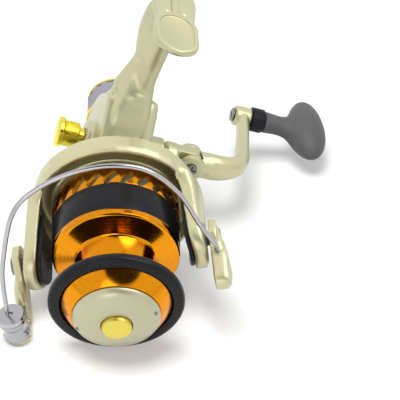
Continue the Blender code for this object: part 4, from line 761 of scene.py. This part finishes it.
# Crank and folding arm
# The hollow steel shaft ends in a painted hinge base. The painted arm folds on a steel pin with a
# screw head, sweeps round its elbow and ends in a boss with the knob's axle riveted through it.
dressed("drive_shaft", bright_steel, 0.0002)
hinge = merged_copy("handle_base")
moulded(hinge, 0.00030, 5)
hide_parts("handle_base")
fitted(hinge, rotor_paint, "handle_base", 60.0)
CRANK_LINE = Vector((0.0, -0.009, -0.068))
CRANK_TILT = math.radians(-9.0)
CRANK_RADIUS = 0.0496
CRANK_OUT = Vector((0.0, math.cos(CRANK_TILT), math.sin(CRANK_TILT)))
crank_frame = Matrix.Translation(CRANK_LINE) @ Matrix.Rotation(CRANK_TILT, 4, "X")
arm = merged_copy("handle_arm")
old_leg = block((0.0500, 0.1400, 0.0400), 0.0005, 1)
old_leg.data.transform(crank_frame @ Matrix.Translation((0.0644, 0.0200, 0.0)))
cut(arm, old_leg)
sweep = swollen("crank_sweep", [
    (0.0372, 0.0, 0.0, 0.0051), (0.0420, 0.0002, 0.0, 0.0050), (0.0468, 0.0016, 0.0, 0.0046),
    (0.0518, 0.0050, 0.0, 0.0042), (0.0550, 0.0108, 0.0, 0.0036), (0.0572, 0.0210, 0.0, 0.0032),
    (0.0594, 0.0340, 0.0, 0.0030), (0.0617, 0.0492, 0.0, 0.0031),
], crank_frame @ Matrix.Diagonal((1.0, 1.0, 1.15, 1.0)))
boss = turned("crank_boss", [
    (0.0, 0.0573), (0.0041, 0.0573), (0.0047, 0.0580), (0.0047, 0.0646), (0.0042, 0.0652), (0.0, 0.0652),
], CRANK_LINE + CRANK_OUT * CRANK_RADIUS, (1.0, 0.0, 0.0), 64)
arm = joined([arm, sweep, boss])
moulded(arm, 0.00030, 6)
bore = rod(0.0023, 0.0300, 0.0002, 1)
bore.data.transform(crank_frame @ Matrix.Translation((0.0620, CRANK_RADIUS, 0.0))
                    @ Matrix.Rotation(math.pi / 2, 4, "Y"))
cut(arm, bore)
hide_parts("handle_arm")
fitted(arm, rotor_paint, "handle_arm", 60.0)
pin = merged_copy("fold_pin")
rounded(pin, 0.0002)
pin_head = CRANK_LINE + Vector((0.030, 0, 0)) - CRANK_OUT * 0.0067
slotted(pin, pin_head, -CRANK_OUT, 0.0044, 0.0006, crossed=True)
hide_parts("fold_pin")
fitted(pin, dark_steel, "fold_pin")
axle = merged_copy("knob_axle")
rounded(axle, 0.0002)
low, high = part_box("knob_axle")
axle_foot = (low.x, (low.y + high.y) / 2, (low.z + high.z) / 2)
slotted(axle, axle_foot, (-1, 0, 0), 0.0050, 0.0008)
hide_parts("knob_axle")
fitted(axle, dark_steel, "knob_axle")

# Handle knob
# The knob is a soft grey rubber paddle, oval at its head, over a black moulded ferrule. Both turn
# freely on the axle that is riveted into the crank's boss.
dressed("knob_ferrule", black("ferrule_black", 0.35), 0.0004)
knob_rings = [
    (0.0718, 0.0050, 0.0050), (0.0735, 0.0050, 0.0049), (0.0765, 0.0047, 0.0046),
    (0.0795, 0.0046, 0.0044), (0.0822, 0.0050, 0.0045), (0.0842, 0.0062, 0.0048),
    (0.0858, 0.0086, 0.0053), (0.0874, 0.0122, 0.0060), (0.0893, 0.0155, 0.0067),
    (0.0918, 0.0181, 0.0073), (0.0945, 0.0191, 0.0075), (0.0972, 0.0184, 0.0072),
    (0.0996, 0.0161, 0.0062), (0.1015, 0.0126, 0.0048), (0.1029, 0.0082, 0.0031),
    (0.1036, 0.0038, 0.0015)]
KNOB_TILT = math.radians(10.0)
NECK_RADIUS = 0.0050
HEAD_SHIFT = 0.12
knob = turned("handle_knob_finish", [
    (0.0, 0.0718), *((tall, place) for place, tall, thick in knob_rings), (0.0, 0.1038),
], (0.0, 0.0, 0.0), (1.0, 0.0, 0.0), 48)
for place, tall, thick in knob_rings:
    picked(knob, lambda spot: abs(spot.x - place) < 0.00002)
    bpy.ops.transform.resize(value=(1.0, 1.0, thick / tall), center_override=(place, 0.0, 0.0))
    bpy.ops.transform.translate(value=(0.0, max(tall - NECK_RADIUS, 0.0) * HEAD_SHIFT, 0.0))
    bpy.ops.object.mode_set(mode="OBJECT")
knob.data.transform(crank_frame @ Matrix.Translation((0.0, CRANK_RADIUS, 0.0))
                    @ Matrix.Rotation(KNOB_TILT, 4, "X"))
changed(knob, "SUBSURF", levels=2, render_levels=2)
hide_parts("handle_knob")
fitted(knob, moulding("knob_rubber", (0.080, 0.080, 0.083), 0.42), "handle_knob", 60.0)

# Thumb screw
# A gold plated brass screw on the far side draws the crank tight. Its head is knurled round, with
# a thin flange at the outer end.
OUTWARD = Vector((-1.0, 0.0, 0.0))
thumb = turned("lock_screw_finish", [
    (0.0, -0.0215), (0.0014, -0.0215), (0.0014, 0.0165), (0.0036, 0.0165), (0.0036, 0.0188),
    (0.0047, 0.0189), (0.0047, 0.0246), (0.0060, 0.0250), (0.0063, 0.0254), (0.0063, 0.0266),
    (0.0060, 0.0270), (0.0052, 0.0274), (0.0030, 0.0276), (0.0, 0.0276),
], CRANK_LINE, OUTWARD, 96)
bpy.ops.object.select_all(action="DESELECT")
bpy.ops.mesh.primitive_cylinder_add(vertices=40, radius=0.0050, depth=0.0056)
knurl = bpy.context.object
bpy.ops.object.mode_set(mode="EDIT")
bpy.ops.mesh.select_all(action="DESELECT")
bpy.ops.object.mode_set(mode="OBJECT")
for face in knurl.data.polygons:
    face.select = abs(face.normal.z) < 0.5
bpy.ops.object.mode_set(mode="EDIT")
bpy.ops.mesh.inset(thickness=0.00016, depth=0.00035, use_individual=True)
bpy.ops.object.mode_set(mode="OBJECT")
knurl.data.transform(Matrix.Translation(CRANK_LINE + OUTWARD * 0.0217)
                     @ Matrix.Rotation(math.pi / 2, 4, "Y"))
thumb = joined([thumb, knurl])
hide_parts("lock_screw")
fitted(thumb, gold, "lock_screw", 30.0)

# Anti-reverse switch
# A black moulded lever under the belly turns the one-way clutch on and off. It pivots on a post
# through the floor of the gear case.
dressed("anti_reverse_lever", black_gloss, 0.0004)
